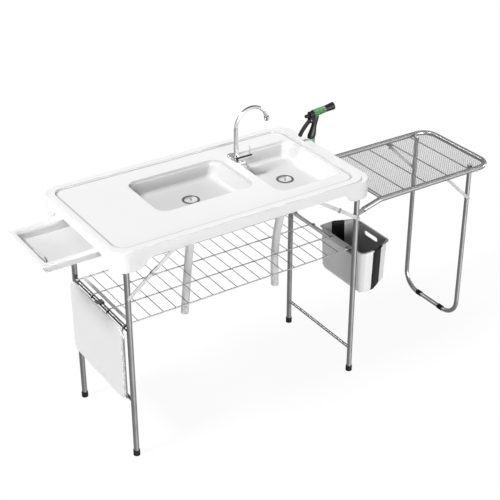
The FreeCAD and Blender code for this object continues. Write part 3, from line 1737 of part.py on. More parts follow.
def main():
    os.makedirs("parts", exist_ok=True)
    for name, maker in NODES.items():
        shape = maker()
        shape.translate(Vector(-side_middle, 0, 0))
        shape.exportStep(os.path.join("parts", name + ".step"))
        box = shape.BoundBox
        print(name, len(shape.Solids), shape.isValid(), round(shape.Volume / 1000, 2),
              [round(v, 1) for v in (box.XMin, box.XMax, box.YMin, box.YMax, box.ZMin, box.ZMax)])


main()
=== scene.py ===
"""The look of a camping sink stand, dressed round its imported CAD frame.

All lengths are in metres, in the frame of the CAD model: +X runs along the
worktop from the drawer to the side table, +Y to the back and +Z up.
"""

import logging
import math
from dataclasses import dataclass
from enum import Enum
from typing import Any, ClassVar, Optional, Sequence

import bpy
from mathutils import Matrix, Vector

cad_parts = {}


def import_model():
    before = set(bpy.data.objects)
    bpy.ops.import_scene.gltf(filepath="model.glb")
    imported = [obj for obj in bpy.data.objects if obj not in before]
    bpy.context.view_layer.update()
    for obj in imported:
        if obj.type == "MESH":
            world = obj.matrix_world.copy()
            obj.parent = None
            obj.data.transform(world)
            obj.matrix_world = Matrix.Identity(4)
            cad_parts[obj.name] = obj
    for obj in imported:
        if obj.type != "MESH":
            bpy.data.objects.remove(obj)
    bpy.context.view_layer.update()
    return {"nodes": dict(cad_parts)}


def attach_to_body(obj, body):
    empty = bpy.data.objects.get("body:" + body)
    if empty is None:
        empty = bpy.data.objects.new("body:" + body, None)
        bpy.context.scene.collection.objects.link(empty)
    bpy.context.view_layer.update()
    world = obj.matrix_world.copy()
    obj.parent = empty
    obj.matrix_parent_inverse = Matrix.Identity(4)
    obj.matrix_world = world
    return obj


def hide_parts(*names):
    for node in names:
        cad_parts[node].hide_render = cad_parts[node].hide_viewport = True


LOG = logging.getLogger("sink_stand")
MILLI = 0.001
FRAME_SHIFT = 225.5

# The colour Mix node's sockets by number, because its inputs share their names.
MIX_FACTOR, MIX_FIRST, MIX_SECOND, MIX_RESULT = 0, 6, 7, 2

Point = Sequence[float]


def spot(x: float, y: float, z: float) -> Vector:
    """A point given in millimetres from midway between the legs.

    Args:
        x: along the worktop.
        y: towards the back.
        z: up from the floor.

    Returns:
        The same point in metres in the CAD model's frame.
    """
    return Vector(((x - FRAME_SHIFT) * MILLI, y * MILLI, z * MILLI))


def grey(level: float) -> tuple:
    """A neutral colour."""
    return (level, level, level)


def darkened(colour: tuple, share: float) -> tuple:
    """A colour with each channel multiplied by a share."""
    return tuple(channel * share for channel in colour)


def rgba(colour: Any) -> Any:
    """A colour with an alpha of one, or a signal as it is."""
    return colour if isinstance(colour, Signal) else (*colour[:3], 1.0)


WHITE = grey(1.0)


class Signal:
    """A shader socket that can be used in sums as a number can."""

    def __init__(self, graph: "Graph", socket: Any) -> None:
        """Keeps the graph and the output socket."""
        self.graph = graph
        self.socket = socket

    def _math(self, operation: str, first: Any, second: Any) -> "Signal":
        """One Math node on two values."""
        return self.graph.add("ShaderNodeMath", {"operation": operation}, {0: first, 1: second})

    def __add__(self, other: Any) -> "Signal":
        """self + other."""
        return self._math("ADD", self, other)

    def __sub__(self, other: Any) -> "Signal":
        """self - other."""
        return self._math("SUBTRACT", self, other)

    def __rsub__(self, other: Any) -> "Signal":
        """other - self."""
        return self._math("SUBTRACT", other, self)

    def __mul__(self, other: Any) -> "Signal":
        """self * other."""
        return self._math("MULTIPLY", self, other)

    def __truediv__(self, other: Any) -> "Signal":
        """self / other."""
        return self._math("DIVIDE", self, other)

    def __gt__(self, other: Any) -> "Signal":
        """1 where self is above other, else 0."""
        return self._math("GREATER_THAN", self, other)

    def __lt__(self, other: Any) -> "Signal":
        """1 where self is below other, else 0."""
        return self._math("LESS_THAN", self, other)

    def power(self, exponent: Any) -> "Signal":
        """self raised to exponent."""
        return self._math("POWER", self, exponent)

    def least(self, other: Any) -> "Signal":
        """The smaller of self and other."""
        return self._math("MINIMUM", self, other)

    def most(self, other: Any) -> "Signal":
        """The larger of self and other."""
        return self._math("MAXIMUM", self, other)

    def unsigned(self) -> "Signal":
        """self without its sign."""
        return self.most(0.0 - self)

    def clamped(self) -> "Signal":
        """self kept between 0 and 1."""
        return self.least(1.0).most(0.0)


@dataclass(frozen=True)
class Pattern:
    """Smooth noise: its scale, its detail and how rough that detail is."""

    scale: float
    detail: float = 2.0
    roughness: float = 0.5


class Graph:
    """The node tree of one material or of the world."""

    def __init__(self, tree: Any) -> None:
        """Empties the tree."""
        self.tree = tree
        tree.nodes.clear()

    def add(self, kind: str, settings: Optional[dict] = None,
            inputs: Optional[dict] = None, output: Any = 0) -> Signal:
        """Adds a node of any type.

        Args:
            kind: the node's type name.
            settings: properties that are set before the sockets.
            inputs: values or signals by socket name or number.
            output: the name or number of the wanted output.

        Returns:
            The wanted output as a signal.
        """
        node = self.tree.nodes.new(kind)
        for key, value in (settings or {}).items():
            setattr(node, key, value)
        for key, value in (inputs or {}).items():
            if isinstance(value, Signal):
                self.tree.links.new(value.socket, node.inputs[key])
            else:
                node.inputs[key].default_value = value
        return Signal(self, node.outputs[output] if node.outputs else None)

    def place(self) -> Signal:
        """The surface point in metres."""
        return self.add("ShaderNodeTexCoord", output="Object")

    def normal(self) -> Signal:
        """The way that the surface faces."""
        return self.add("ShaderNodeNewGeometry", output="Normal")

    def stretch(self, vector: Signal, scale: Point) -> Signal:
        """The point scaled along each axis."""
        return self.add("ShaderNodeMapping", {}, {"Vector": vector, "Scale": tuple(scale)})

    def noise(self, vector: Signal, pattern: Pattern) -> Signal:
        """Smooth noise from 0 to 1."""
        inputs = {"Vector": vector, "Scale": pattern.scale,
                  "Detail": pattern.detail, "Roughness": pattern.roughness}
        return self.add("ShaderNodeTexNoise", {}, inputs)

    def cells(self, vector: Signal, scale: float) -> Signal:
        """The distance to the nearest of scattered points."""
        return self.add("ShaderNodeTexVoronoi", {}, {"Vector": vector, "Scale": scale})

    def axis(self, vector: Signal, name: str) -> Signal:
        """One coordinate of a vector."""
        return self.add("ShaderNodeSeparateXYZ", {}, {0: vector}, name)

    def vector(self, operation: str, first: Any, second: Any, output: Any = 0) -> Signal:
        """One Vector Math node on two vectors."""
        inputs = {0: first, 1: second}
        return self.add("ShaderNodeVectorMath", {"operation": operation}, inputs, output)

    def dot(self, first: Any, second: Any) -> Signal:
        """The dot product of two vectors."""
        return self.vector("DOT_PRODUCT", first, second, "Value")

    def blend(self, factor: Any, first: Any, second: Any) -> Signal:
        """A colour between two others."""
        inputs = {MIX_FACTOR: factor, MIX_FIRST: rgba(first), MIX_SECOND: rgba(second)}
        return self.add("ShaderNodeMix", {"data_type": "RGBA"}, inputs, MIX_RESULT)

    def bump(self, height: Signal, distance: float) -> Signal:
        """A surface normal from a height."""
        return self.add("ShaderNodeBump", {}, {"Height": height, "Distance": distance})


class Finish:
    """A surface finish that can dress any number of pieces."""

    def build(self, name: str) -> bpy.types.Material:
        """Makes the material.

        Args:
            name: the material's name.

        Returns:
            The new material.
        """
        material = bpy.data.materials.new(name)
        material.use_nodes = True
        graph = Graph(material.node_tree)
        values = self.values(graph)
        shader = graph.add("ShaderNodeBsdfPrincipled", {}, values, "BSDF")
        graph.add("ShaderNodeOutputMaterial", {}, {"Surface": shader})
        return material

    def values(self, graph: Graph) -> dict:
        """The shader's socket values."""
        raise NotImplementedError


@dataclass(frozen=True)
class MouldedPlastic(Finish):
    """Plastic with a pebbled mould grain, a slight unevenness of tone and rubbed patches."""

    colour: tuple
    rough: float = 0.42
    grain: float = 900.0
    depth: float = 0.00012
    tone: float = 0.03
    scuff: float = 0.06
    shine: float = 0.3
    drift: ClassVar[Pattern] = Pattern(5.0, 3.0)
    fine: ClassVar[Pattern] = Pattern(60.0, 4.0, 0.6)
    rub: ClassVar[Pattern] = Pattern(18.0, 5.0, 0.7)
    rub_stretch: ClassVar[tuple] = (1.0, 3.0, 1.0)
    drift_share: ClassVar[float] = 0.6
    fine_relief: ClassVar[float] = 0.5

    def values(self, graph: Graph) -> dict:
        """Tone drifts over some 0.2 m, the grain is about a millimetre."""
        place = graph.place()
        drift = graph.noise(place, self.drift)
        fine = graph.noise(place, self.fine)
        darker = darkened(self.colour, 1.0 - 2.0 * self.tone)
        mottled = drift * self.drift_share + fine * (1.0 - self.drift_share)
        rubbed = graph.noise(graph.stretch(place, self.rub_stretch), self.rub)
        relief = graph.cells(place, self.grain) + fine * self.fine_relief
        return {
            "Base Color": graph.blend(mottled, self.colour, darker),
            "Roughness": rubbed * (2.0 * self.scuff) + (self.rough - self.scuff),
            "Normal": graph.bump(relief, self.depth),
            "Specular IOR Level": self.shine,
        }


@dataclass(frozen=True)
class WorktopPlastic(MouldedPlastic):
    """The worktop's plastic: a matt, slightly darker field inside a smoother raised rim, with
    painted shade along the rim's rounded edges and its foot.
    """

    rim: ClassVar[float] = 0.06
    field_top: ClassVar[float] = 0.9352
    edge: ClassVar[float] = 0.0035
    skirt_drop: ClassVar[float] = 0.006
    polish: ClassVar[float] = 0.1
    # The strength and grey of the painted shade on the rim's rounded edges and foot.
    edge_shade: ClassVar[float] = 0.5
    shade_grey: ClassVar[float] = 0.36
    level: ClassVar[float] = 0.99
    upright: ClassVar[float] = 0.02
    rounding: ClassVar[float] = 6.0
    # A line of painted shade along the rim's foot, round the field's outline.
    shade_line: ClassVar[float] = 0.9
    shade_line_place: ClassVar[float] = -0.005
    shade_line_width: ClassVar[float] = 0.008
    shade_line_drop: ClassVar[float] = 0.001
    middle: ClassVar[tuple] = (-0.273, 0.0, 0.0)
    half: ClassVar[tuple] = (0.5155, 0.269, 0.0)
    corner: ClassVar[float] = 0.050

    def outline(self, graph: Graph, place: Signal) -> Signal:
        """The distance from the field's edge, negative inside it."""
        straight = tuple(side - self.corner for side in self.half)
        centred = graph.vector("SUBTRACT", place, self.middle)
        offset = graph.vector("SUBTRACT", graph.vector("ABSOLUTE", centred, self.middle), straight)
        along = graph.axis(offset, "X")
        across = graph.axis(offset, "Y")
        outside = along.most(0.0) * along.most(0.0) + across.most(0.0) * across.most(0.0)
        return outside.power(0.5) + along.most(across).least(0.0) - self.corner

    def values(self, graph: Graph) -> dict:
        """The rim starts just above the field, and painted shade greys its rounded edges and its
        foot.
        """
        values = super().values(graph)
        height = graph.axis(graph.place(), "Z")
        upward = graph.axis(graph.normal(), "Z")
        raised = ((height - self.field_top) / self.edge).clamped()
        below = ((self.field_top - self.skirt_drop - height) / self.edge).clamped()
        smooth = raised.most(below)
        tone = graph.blend(smooth * self.rim, values["Base Color"], WHITE)
        rounded = ((self.level - upward) * self.rounding).clamped()
        rounded = rounded * (height > self.field_top) * (upward > self.upright)
        away = self.outline(graph, graph.place()) - self.shade_line_place
        foot = (1.0 - away.unsigned() / self.shade_line_width).clamped()
        foot = foot * (height > self.field_top - self.shade_line_drop)
        # Painted shade: the rim's rounded edges and its foot turn grey.
        dust_and_shade = (rounded * self.edge_shade).most(foot * self.shade_line)
        values["Base Color"] = graph.blend(dust_and_shade, tone, grey(self.shade_grey))
        values["Roughness"] = values["Roughness"] - smooth * self.polish
        return values


@dataclass(frozen=True)
class TrayPlastic(MouldedPlastic):
    """The drawer's plastic: a pale rim round a slightly darker sunk tray."""

    rim: ClassVar[float] = 0.45
    rim_base: ClassVar[float] = 0.8835

    def values(self, graph: Graph) -> dict:
        """The rim is paler from its underside upward."""
        values = super().values(graph)
        raised = graph.axis(graph.place(), "Z") > self.rim_base
        values["Base Color"] = graph.blend(raised * self.rim, values["Base Color"], WHITE)
        return values


@dataclass(frozen=True)
class BinPlastic(MouldedPlastic):
    """Bin plastic: pale grey, with painted shade inside and a painted highlight, a white strip on
    the front beside the band.
    """

    start: ClassVar[float] = 0.320
    end: ClassVar[float] = 0.3565
    front: ClassVar[float] = -0.20
    forward: ClassVar[float] = -0.8
    # The grey of the painted highlight on the front face.
    white: ClassVar[float] = 0.93
    middle: ClassVar[tuple] = (0.382, -0.111, 0.0)
    sideways: ClassVar[tuple] = (1.0, 1.0, 0.0)
    # The grey of the painted shade inside the bin, and the height that it reaches on the floor.
    inner: ClassVar[float] = 0.58
    shade_top: ClassVar[float] = 0.45
    upward: ClassVar[float] = 0.5

    def values(self, graph: Graph) -> dict:
        """Faces that look towards the bin's middle, and its floor, are inside and take painted
        shade.
        """
        values = super().values(graph)
        place = graph.place()
        normal = graph.normal()
        along = graph.axis(place, "X")
        # Painted highlight: the front face beside the band turns white.
        highlight_panel = (along > self.start) * (self.end > along) * (self.front > graph.axis(place, "Y"))
        highlight_panel = highlight_panel * (graph.axis(normal, "Y") < self.forward)
        # Painted shade: faces that look inward, and the floor, take a darker grey.
        outward = graph.vector("SUBTRACT", place, self.middle)
        inside = graph.dot(graph.vector("MULTIPLY", outward, self.sideways), normal) < 0.0
        low = graph.axis(place, "Z") < self.shade_top
        floor = (graph.axis(normal, "Z") > self.upward) * low
        painted = graph.blend(highlight_panel, values["Base Color"], grey(self.white))
        values["Base Color"] = graph.blend(inside.most(floor), painted, grey(self.inner))
        return values


@dataclass(frozen=True)
class TubeSteel(Finish):
    """Metallic grey coat on steel tube, slightly hammered, darker in patches."""

    colour: tuple
    rough: float = 0.3
    metal: float = 0.9
    depth: ClassVar[float] = 0.00008
    clouds: ClassVar[Pattern] = Pattern(14.0, 4.0, 0.6)
    peel: ClassVar[Pattern] = Pattern(420.0)
    specks: ClassVar[float] = 1500.0
    cloud_share: ClassVar[float] = 0.7
    shade: ClassVar[float] = 0.8
    unevenness: ClassVar[float] = 0.12
    smoother: ClassVar[float] = 0.05

    def values(self, graph: Graph) -> dict:
        """Fine orange peel with a soft cloudiness."""
        place = graph.place()
        cloud = graph.noise(place, self.clouds)
        specks = graph.cells(place, self.specks)
        mottled = cloud * self.cloud_share + specks * (1.0 - self.cloud_share)
        return {
            "Base Color": graph.blend(mottled, darkened(self.colour, self.shade), self.colour),
            "Metallic": self.metal,
            "Roughness": cloud * self.unevenness + (self.rough - self.smoother),
            "Normal": graph.bump(graph.noise(place, self.peel), self.depth),
        }


@dataclass(frozen=True)
class ShelfSteel(TubeSteel):
    """The shelf's dark wires, with a paler coat on the flat bars near both ends."""

    middle: ClassVar[float] = -0.228
    start: ClassVar[float] = 0.4825
    end: ClassVar[float] = 0.4965
    bar: ClassVar[float] = 0.62
    coat: ClassVar[float] = 0.8

    def values(self, graph: Graph) -> dict:
        """The bars lie at equal distances from the shelf's middle."""
        values = super().values(graph)
        away = (graph.axis(graph.place(), "X") - self.middle).unsigned()
        flat = (away > self.start) * (self.end > away)
        values["Base Color"] = graph.blend(flat, values["Base Color"], grey(self.bar))
        values["Metallic"] = self.metal - flat * (self.metal * self.coat)
        return values


@dataclass(frozen=True)
class PolishedMetal(Finish):
    """Chrome or stainless steel with faint smears, or with drawn lines along one axis."""

    colour: tuple
    rough: float = 0.07
    lines: float = 0.0
    smears: ClassVar[Pattern] = Pattern(45.0, 4.0, 0.6)
    drawn: ClassVar[Pattern] = Pattern(1.0, 3.0)
    drawn_stretch: ClassVar[tuple] = (20.0, 900.0, 900.0)
    shade: ClassVar[float] = 0.86
    smear_tone: ClassVar[float] = 0.3
    smear_rough: ClassVar[float] = 0.08
    line_rough: ClassVar[float] = 0.2
    line_depth: ClassVar[float] = 0.00004
    least_depth: ClassVar[float] = 0.000002

    def values(self, graph: Graph) -> dict:
        """Smears change the gloss, drawn lines the gloss and the tone."""
        place = graph.place()
        smear = graph.noise(place, self.smears)
        streaks = graph.noise(graph.stretch(place, self.drawn_stretch), self.drawn)
        tone = streaks * self.lines + smear * self.smear_tone
        gloss = smear * self.smear_rough + streaks * (self.line_rough * self.lines)
        return {
            "Base Color": graph.blend(tone, self.colour, darkened(self.colour, self.shade)),
            "Metallic": 1.0,
            "Roughness": gloss + self.rough,
            "Normal": graph.bump(streaks, self.line_depth * self.lines + self.least_depth),
        }


@dataclass(frozen=True)
class DrainSteel(PolishedMetal):
    """Steel of a drain: one tone on the upper faces below a height, another elsewhere."""

    other: float = 0.3
    top: float = 1.0
    upward: ClassVar[float] = 0.5

    def values(self, graph: Graph) -> dict:
        """Walls and whatever stands above the height take the other tone."""
        values = super().values(graph)
        facing = graph.axis(graph.normal(), "Z") > self.upward
        plain = facing * (graph.axis(graph.place(), "Z") < self.top)
        values["Base Color"] = graph.blend(plain, grey(self.other), values["Base Color"])
        return values


@dataclass(frozen=True)
class MirrorChrome(PolishedMetal):
    """Bright chrome with dark reflections painted in bands along two sides."""

    skyward: tuple = (0.34, 0.10, 0.93)
    low: float = 0.52
    high: float = 0.60
    # The near black of the painted reflections.
    painted_reflection_grey: ClassVar[float] = 0.015
    sideward: ClassVar[tuple] = (-0.837, 0.547, 0.0)
    side_low: ClassVar[float] = 0.66
    side_high: ClassVar[float] = 0.76

    def values(self, graph: Graph) -> dict:
        """Each painted reflection band lies where the surface looks one way."""
        values = super().values(graph)
        normal = graph.normal()
        upper = graph.dot(normal, self.skyward) - self.low
        beside = graph.dot(normal, self.sideward) - self.side_low
        upper_reflection = (upper / (self.high - self.low)).clamped()
        side_reflection = (beside / (self.side_high - self.side_low)).clamped()
        reflection_band = upper_reflection.most(side_reflection)
        # Painted reflection: the bands turn near black, as a dark room mirrored in the chrome would.
        values["Base Color"] = graph.blend(reflection_band, values["Base Color"], grey(self.painted_reflection_grey))
        return values


@dataclass(frozen=True)
class Rubber(Finish):
    """Matt rubber with a dusty bloom."""

    colour: tuple
    rough: float = 0.62
    bloom: ClassVar[Pattern] = Pattern(40.0, 5.0, 0.7)
    grain: ClassVar[Pattern] = Pattern(1200.0)
    depth: ClassVar[float] = 0.0001
    paler: ClassVar[float] = 1.9
    dust_and_shade: ClassVar[float] = 0.01
    patchiness: ClassVar[float] = 2.0
    unevenness: ClassVar[float] = 0.15
    smoother: ClassVar[float] = 0.07
    shine: ClassVar[float] = 0.05

    def values(self, graph: Graph) -> dict:
        """The bloom is paler in soft patches."""
        place = graph.place()
        bloom = graph.noise(place, self.bloom)
        dusty = tuple(min(1.0, channel * self.paler + self.dust_and_shade) for channel in self.colour)
        return {
            "Base Color": graph.blend(bloom.power(self.patchiness), self.colour, dusty),
            "Roughness": bloom * self.unevenness + (self.rough - self.smoother),
            "Normal": graph.bump(graph.noise(place, self.grain), self.depth),
            "Specular IOR Level": self.shine,
        }


@dataclass(frozen=True)
class GripPlastic(MouldedPlastic):
    """The spray gun's black grip with the pale green connector at its foot."""

    foot: ClassVar[float] = 0.938
    foot_colour: ClassVar[tuple] = (0.42, 0.58, 0.43)

    def values(self, graph: Graph) -> dict:
        """The connector ends at one height."""
        values = super().values(graph)
        below = graph.axis(graph.place(), "Z") < self.foot
        values["Base Color"] = graph.blend(below, values["Base Color"], self.foot_colour)
        return values


@dataclass(frozen=True)
class ClearPlastic(Finish):
    """Tinted plastic that lets some light through."""

    colour: tuple
    rough: float = 0.16
    clear: float = 0.35
    clouds: ClassVar[Pattern] = Pattern(120.0, 3.0)
    shade: ClassVar[float] = 0.7
    unevenness: ClassVar[float] = 0.06
    depth: ClassVar[float] = 0.0001
    bending: ClassVar[float] = 1.48

    def values(self, graph: Graph) -> dict:
        """Clouded inside, glossy outside."""
        cloud = graph.noise(graph.place(), self.clouds)
        return {
            "Base Color": graph.blend(cloud, self.colour, darkened(self.colour, self.shade)),
            "Roughness": cloud * self.unevenness + self.rough,
            "Transmission Weight": self.clear,
            "IOR": self.bending,
            "Normal": graph.bump(cloud, self.depth),
        }


class Look(Enum):
    """The finishes of the stand."""

    WORKTOP = WorktopPlastic(grey(0.86), 0.44, 700.0, 0.00016, 0.015)
    # The basins are the worktop's white plastic made grey as painted shade, the larger basin more
    # deeply.
    BASIN = MouldedPlastic(grey(0.64), 0.38, 900.0, 0.00008, 0.015)
    SMALL_BASIN = MouldedPlastic(grey(0.71), 0.38, 900.0, 0.00008, 0.015)
    TRAY = TrayPlastic(grey(0.70), 0.40, 900.0, 0.0001, 0.015)
    BOARD = MouldedPlastic(grey(0.66), 0.45, 1100.0, 0.0001, 0.015)
    BIN = BinPlastic(grey(0.84), 0.40, 1000.0, 0.00008, 0.03)
    TUBE = TubeSteel(grey(0.16), 0.37, 1.0)
    WIRE = TubeSteel(grey(0.15), 0.42)
    SHELF = ShelfSteel(grey(0.15), 0.42)
    RAIL = TubeSteel(grey(0.12), 0.42)
    MESH = TubeSteel(grey(0.25), 0.5, 0.7)
    STRIP = TubeSteel(grey(0.33), 0.5, 0.25)
    RING = DrainSteel(grey(0.11), 0.32, 0.3, other=0.4)
    DRAIN = DrainSteel(grey(0.82), 0.42, 0.2, other=0.3, top=0.8662)
    CHROME = MirrorChrome(grey(0.70), 0.06)
    VALVE = MirrorChrome(grey(0.80), 0.06, skyward=(0.0, -0.58, 0.81), low=0.90, high=0.93)
    BASE = PolishedMetal(grey(0.34), 0.12, 0.4)
    CLIP = MouldedPlastic(grey(0.86), 0.3, 900.0, 0.00005, 0.02)
    RUBBER = Rubber(grey(0.012))
    BAND = Rubber(grey(0.008), 0.6)
    HOSE = MouldedPlastic(grey(0.76), 0.35, 1500.0, 0.00005, 0.06)
    FITTING = MouldedPlastic(grey(0.50), 0.4, 900.0, 0.0001)
    GUN_BLACK = MouldedPlastic((0.006, 0.007, 0.006), 0.5, 900.0, 0.00002, 0.1, 0.06, 0.1)
    GUN_GRIP = GripPlastic((0.006, 0.007, 0.006), 0.5, 900.0, 0.00002, 0.1, 0.06, 0.1)
    GUN_GREEN = ClearPlastic((0.075, 0.28, 0.085), 0.22, 0.08)
    GUN_CLEAR = ClearPlastic((0.72, 0.76, 0.72), 0.18, 0.5)

    def material(self) -> bpy.types.Material:
        """The finish's material, made once."""
        name = self.name.lower() + "_finish"
        return bpy.data.materials.get(name) or self.value.build(name)


def circle(centre: Vector, axes: Sequence[Vector], radius: float, sides: int) -> list:
    """The points of a circle, from the first axis towards the second."""
    angles = (2 * math.pi * k / sides for k in range(sides))
    return [centre + (axes[0] * math.cos(a) + axes[1] * math.sin(a)) * radius for a in angles]


def dome(radius: float, height: float, angles: Sequence[float]) -> list:
    """Pairs of radius and height in metres up a dome whose sizes are in millimetres."""
    return [(radius * math.cos(a) * MILLI, height * math.sin(a) * MILLI) for a in angles]


class Mesh:
    """Vertices and faces that are gathered before they become one object."""

    def __init__(self) -> None:
        """Starts empty."""
        self.points: list = []
        self.faces: list = []

    def rings(self, rings: Sequence[Sequence[Vector]], closed: bool = True) -> None:
        """Skins a row of equal rings.

        Args:
            rings: the rings, each a list of points.
            closed: whether the first and last rings are capped.
        """
        base = len(self.points)
        count = len(rings[0])
        for ring in rings:
            self.points.extend(ring)
        for i in range(len(rings) - 1):
            low = base + i * count
            for j in range(count):
                k = (j + 1) % count
                self.faces.append((low + j, low + k, low + count + k, low + count + j))
        if closed:
            self.faces.append(tuple(range(base + count - 1, base - 1, -1)))
            top = base + (len(rings) - 1) * count
            self.faces.append(tuple(range(top, top + count)))

    def lathe(self, centre: Vector, axis: Vector, profile: Sequence[tuple], sides: int) -> None:
        """A turned shape with capped ends.

        Args:
            centre: a point on the axis.
            axis: the axis, of length one.
            profile: pairs of radius and distance along the axis.
            sides: the number of sides.
        """
        side = axis.orthogonal().normalized()
        axes = (side, axis.cross(side))
        self.rings([circle(centre + axis * height, axes, radius, sides)
                    for radius, height in profile])

    def make(self, name: str, look: Look, smooth: bool = True,
             angle: float = 35.0) -> bpy.types.Object:
        """Turns the gathered faces into an object.

        Args:
            name: the object's name.
            look: its finish.
            smooth: whether it is shaded smooth up to an angle.
            angle: that angle in degrees.

        Returns:
            The new object.
        """
        mesh = bpy.data.meshes.new(name)
        mesh.from_pydata([tuple(p) for p in self.points], [], self.faces)
        mesh.validate()
        mesh.materials.append(look.material())
        if smooth:
            mesh.shade_smooth()
            mesh.set_sharp_from_angle(angle=math.radians(angle))
        thing = bpy.data.objects.new(name, mesh)
        bpy.context.scene.collection.objects.link(thing)
        return thing


def attach(thing: bpy.types.Object, body: str,
           stands_for: Sequence[str] = ()) -> bpy.types.Object:
    """Ties a piece to a body of the frame.

    Args:
        thing: the piece.
        body: the body that it rides on.
        stands_for: the CAD nodes that it is shown in place of.

    Returns:
        The piece.
    """
    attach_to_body(thing, body)
    if stands_for:
        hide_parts(*stands_for)
    LOG.info("%s rides on %s", thing.name, body)
    return thing


def dress(frame: dict, looks: dict) -> None:
    """Gives CAD nodes their finishes.

    Args:
        looks: the finish of each node by name.
    """
    for name, look in looks.items():
        mesh = frame["nodes"][name].data
        material = look.material()
        if not mesh.materials:
            mesh.materials.append(material)
        for i in range(len(mesh.materials)):
            mesh.materials[i] = material
        LOG.info("%s is finished as %s", name, look.name.lower())


NODE_LOOKS = {
    "worktop": Look.WORKTOP, "worktop_skirt": Look.WORKTOP,
    "left_basin": Look.BASIN, "right_basin": Look.SMALL_BASIN,
    "left_drain_flange": Look.RING, "right_drain_flange": Look.RING,
    "left_strainer": Look.DRAIN, "right_strainer": Look.DRAIN,
    "left_drain_tail": Look.FITTING, "right_drain_tail": Look.FITTING, "hose_clamps": Look.STRIP,
    "drawer_tray": Look.TRAY, "drawer_runners": Look.TRAY,
    "left_front_leg": Look.TUBE, "left_back_leg": Look.TUBE,
    "right_front_leg": Look.TUBE, "right_back_leg": Look.TUBE,
    "left_upper_crossbar": Look.TUBE, "left_lower_crossbar": Look.TUBE,
    "right_upper_crossbar": Look.TUBE, "right_lower_crossbar": Look.TUBE,
    "leg_feet": Look.RUBBER, "deck_brackets": Look.STRIP, "frame_bolts": Look.STRIP,
    "left_stay_lower": Look.STRIP, "left_stay_upper": Look.STRIP,
    "right_stay_lower": Look.STRIP, "right_stay_upper": Look.STRIP,
    "stay_locks": Look.RAIL,
    "shelf_long_wires": Look.WIRE, "shelf_cross_wires": Look.SHELF,
    "board_rail": Look.RAIL, "cutting_board": Look.BOARD, "board_hook": Look.RAIL,
    "bin_back": Look.BIN, "bin_band": Look.BAND, "bin_front": Look.BIN, "bin_hook": Look.CLIP,
    "side_frame": Look.TUBE, "side_mesh": Look.MESH, "side_rods": Look.WIRE, "side_leg": Look.TUBE,
    "side_pads": Look.RUBBER, "side_braces": Look.STRIP, "side_bolts": Look.STRIP,
    "tap_base": Look.BASE, "tap_body": Look.VALVE, "tap_spout": Look.CHROME,
    "tap_aerator": Look.CHROME, "tap_lever": Look.VALVE, "tap_shank": Look.FITTING,
    "gun_holder": Look.GUN_CLEAR, "gun_grip": Look.GUN_GRIP, "gun_barrel": Look.GUN_GREEN,
    "gun_trigger": Look.GUN_BLACK, "gun_head": Look.GUN_BLACK, "gun_knob": Look.GUN_BLACK,
    "gun_pin": Look.STRIP,
}


class Line:
    """Points in a row, with the distance of each from the first."""

    reach = 0.004

    def __init__(self, points: Sequence[Vector]) -> None:
        """Measures the row."""
        self.points = points
        self.steps = [0.0]
        for a, b in zip(points, points[1:]):
            self.steps.append(self.steps[-1] + (b - a).length)
        self.total = self.steps[-1]

    def at(self, distance: float) -> Vector:
        """The point at a distance along the row."""
        i = 1
        while distance > self.steps[i] and i < len(self.steps) - 1:
            i += 1
        share = (distance - self.steps[i - 1]) / (self.steps[i] - self.steps[i - 1])
        return self.points[i - 1].lerp(self.points[i], min(max(share, 0.0), 1.0))

    def heading(self, distance: float) -> Vector:
        """The way that the row runs at a distance along it."""
        ahead = self.at(min(distance + self.reach, self.total))
        behind = self.at(max(distance - self.reach, 0.0))
        return (ahead - behind).normalized()


@dataclass
class DrainHose:
    """One ribbed drain hose, hanging from its drain through the shelf."""

    name: str
    route: tuple
    length: float
    radius: float = 0.016
    bore: float = 0.0134
    root: float = 0.0149
    pitch: float = 0.0045
    plain: float = 0.03
    chamfer: float = 0.0004
    groove: tuple = (0.12, 0.3)
    crest: tuple = (0.48, 0.9)
    sides: int = 40
    bore_steps: int = 24
    resolution: int = 24
    smooth_angle: float = 50.0

    def line(self) -> list:
        """The smooth line that the hose follows."""
        curve = bpy.data.curves.new(self.name + "_route", "CURVE")
        curve.dimensions = "3D"
        curve.resolution_u = self.resolution
        spline = curve.splines.new("NURBS")
        spline.points.add(len(self.route) - 1)
        for place, point in zip(spline.points, self.route):
            place.co = (*spot(*point), 1.0)
        spline.order_u = 3
        spline.use_endpoint_u = True
        holder = bpy.data.objects.new(self.name + "_route", curve)
        mesh = bpy.data.meshes.new_from_object(holder)
        points = [v.co.copy() for v in mesh.vertices]
        bpy.data.objects.remove(holder)
        bpy.data.meshes.remove(mesh)
        bpy.data.curves.remove(curve)
        return points

    def outline(self, total: float) -> list:
        """Pairs of distance and radius: cuffs and ribs outside, then the plain bore inside."""
        rim = self.radius - self.chamfer
        rows = [(0.0, self.bore), (0.0, rim), (self.chamfer, self.radius), (self.plain, self.radius)]
        count = int((total - 2 * self.plain) / self.pitch)
        pitch = (total - 2 * self.plain) / count
        rib = [(share, self.root) for share in self.groove]
        rib += [(share, self.radius) for share in self.crest]
        for i in range(count):
            start = self.plain + i * pitch
            rows += [(start + pitch * share, radius) for share, radius in rib]
        rows += [(total - self.plain, self.radius), (total - self.chamfer, self.radius),
                 (total, rim), (total, self.bore)]
        inside = total - 2 * self.chamfer
        rows += [(total - self.chamfer - inside * k / self.bore_steps, self.bore)
                 for k in range(self.bore_steps + 1)]
        return rows

    def build(self) -> bpy.types.Object:
        """Ribs outside, a plain bore inside, and plain cuffs at both ends."""
        points = self.line()
        line = Line(points)
        rings = []
        for distance, radius in self.outline(line.total):
            ahead = line.heading(distance)
            side = ahead.cross(Vector((0.0, 1.0, 0.0))).cross(ahead).normalized()
            axes = (side, ahead.cross(side))
            rings.append(circle(line.at(distance), axes, radius, self.sides))
        mesh = Mesh()
        mesh.rings(rings + [rings[0]], closed=False)
        thing = mesh.make(self.name, Look.HOSE, angle=self.smooth_angle)
        attach(thing, "stand", [self.name.replace("_ribbed", "")])
        LOG.info("%s is %.3f m long", self.name, line.total)
        return thing


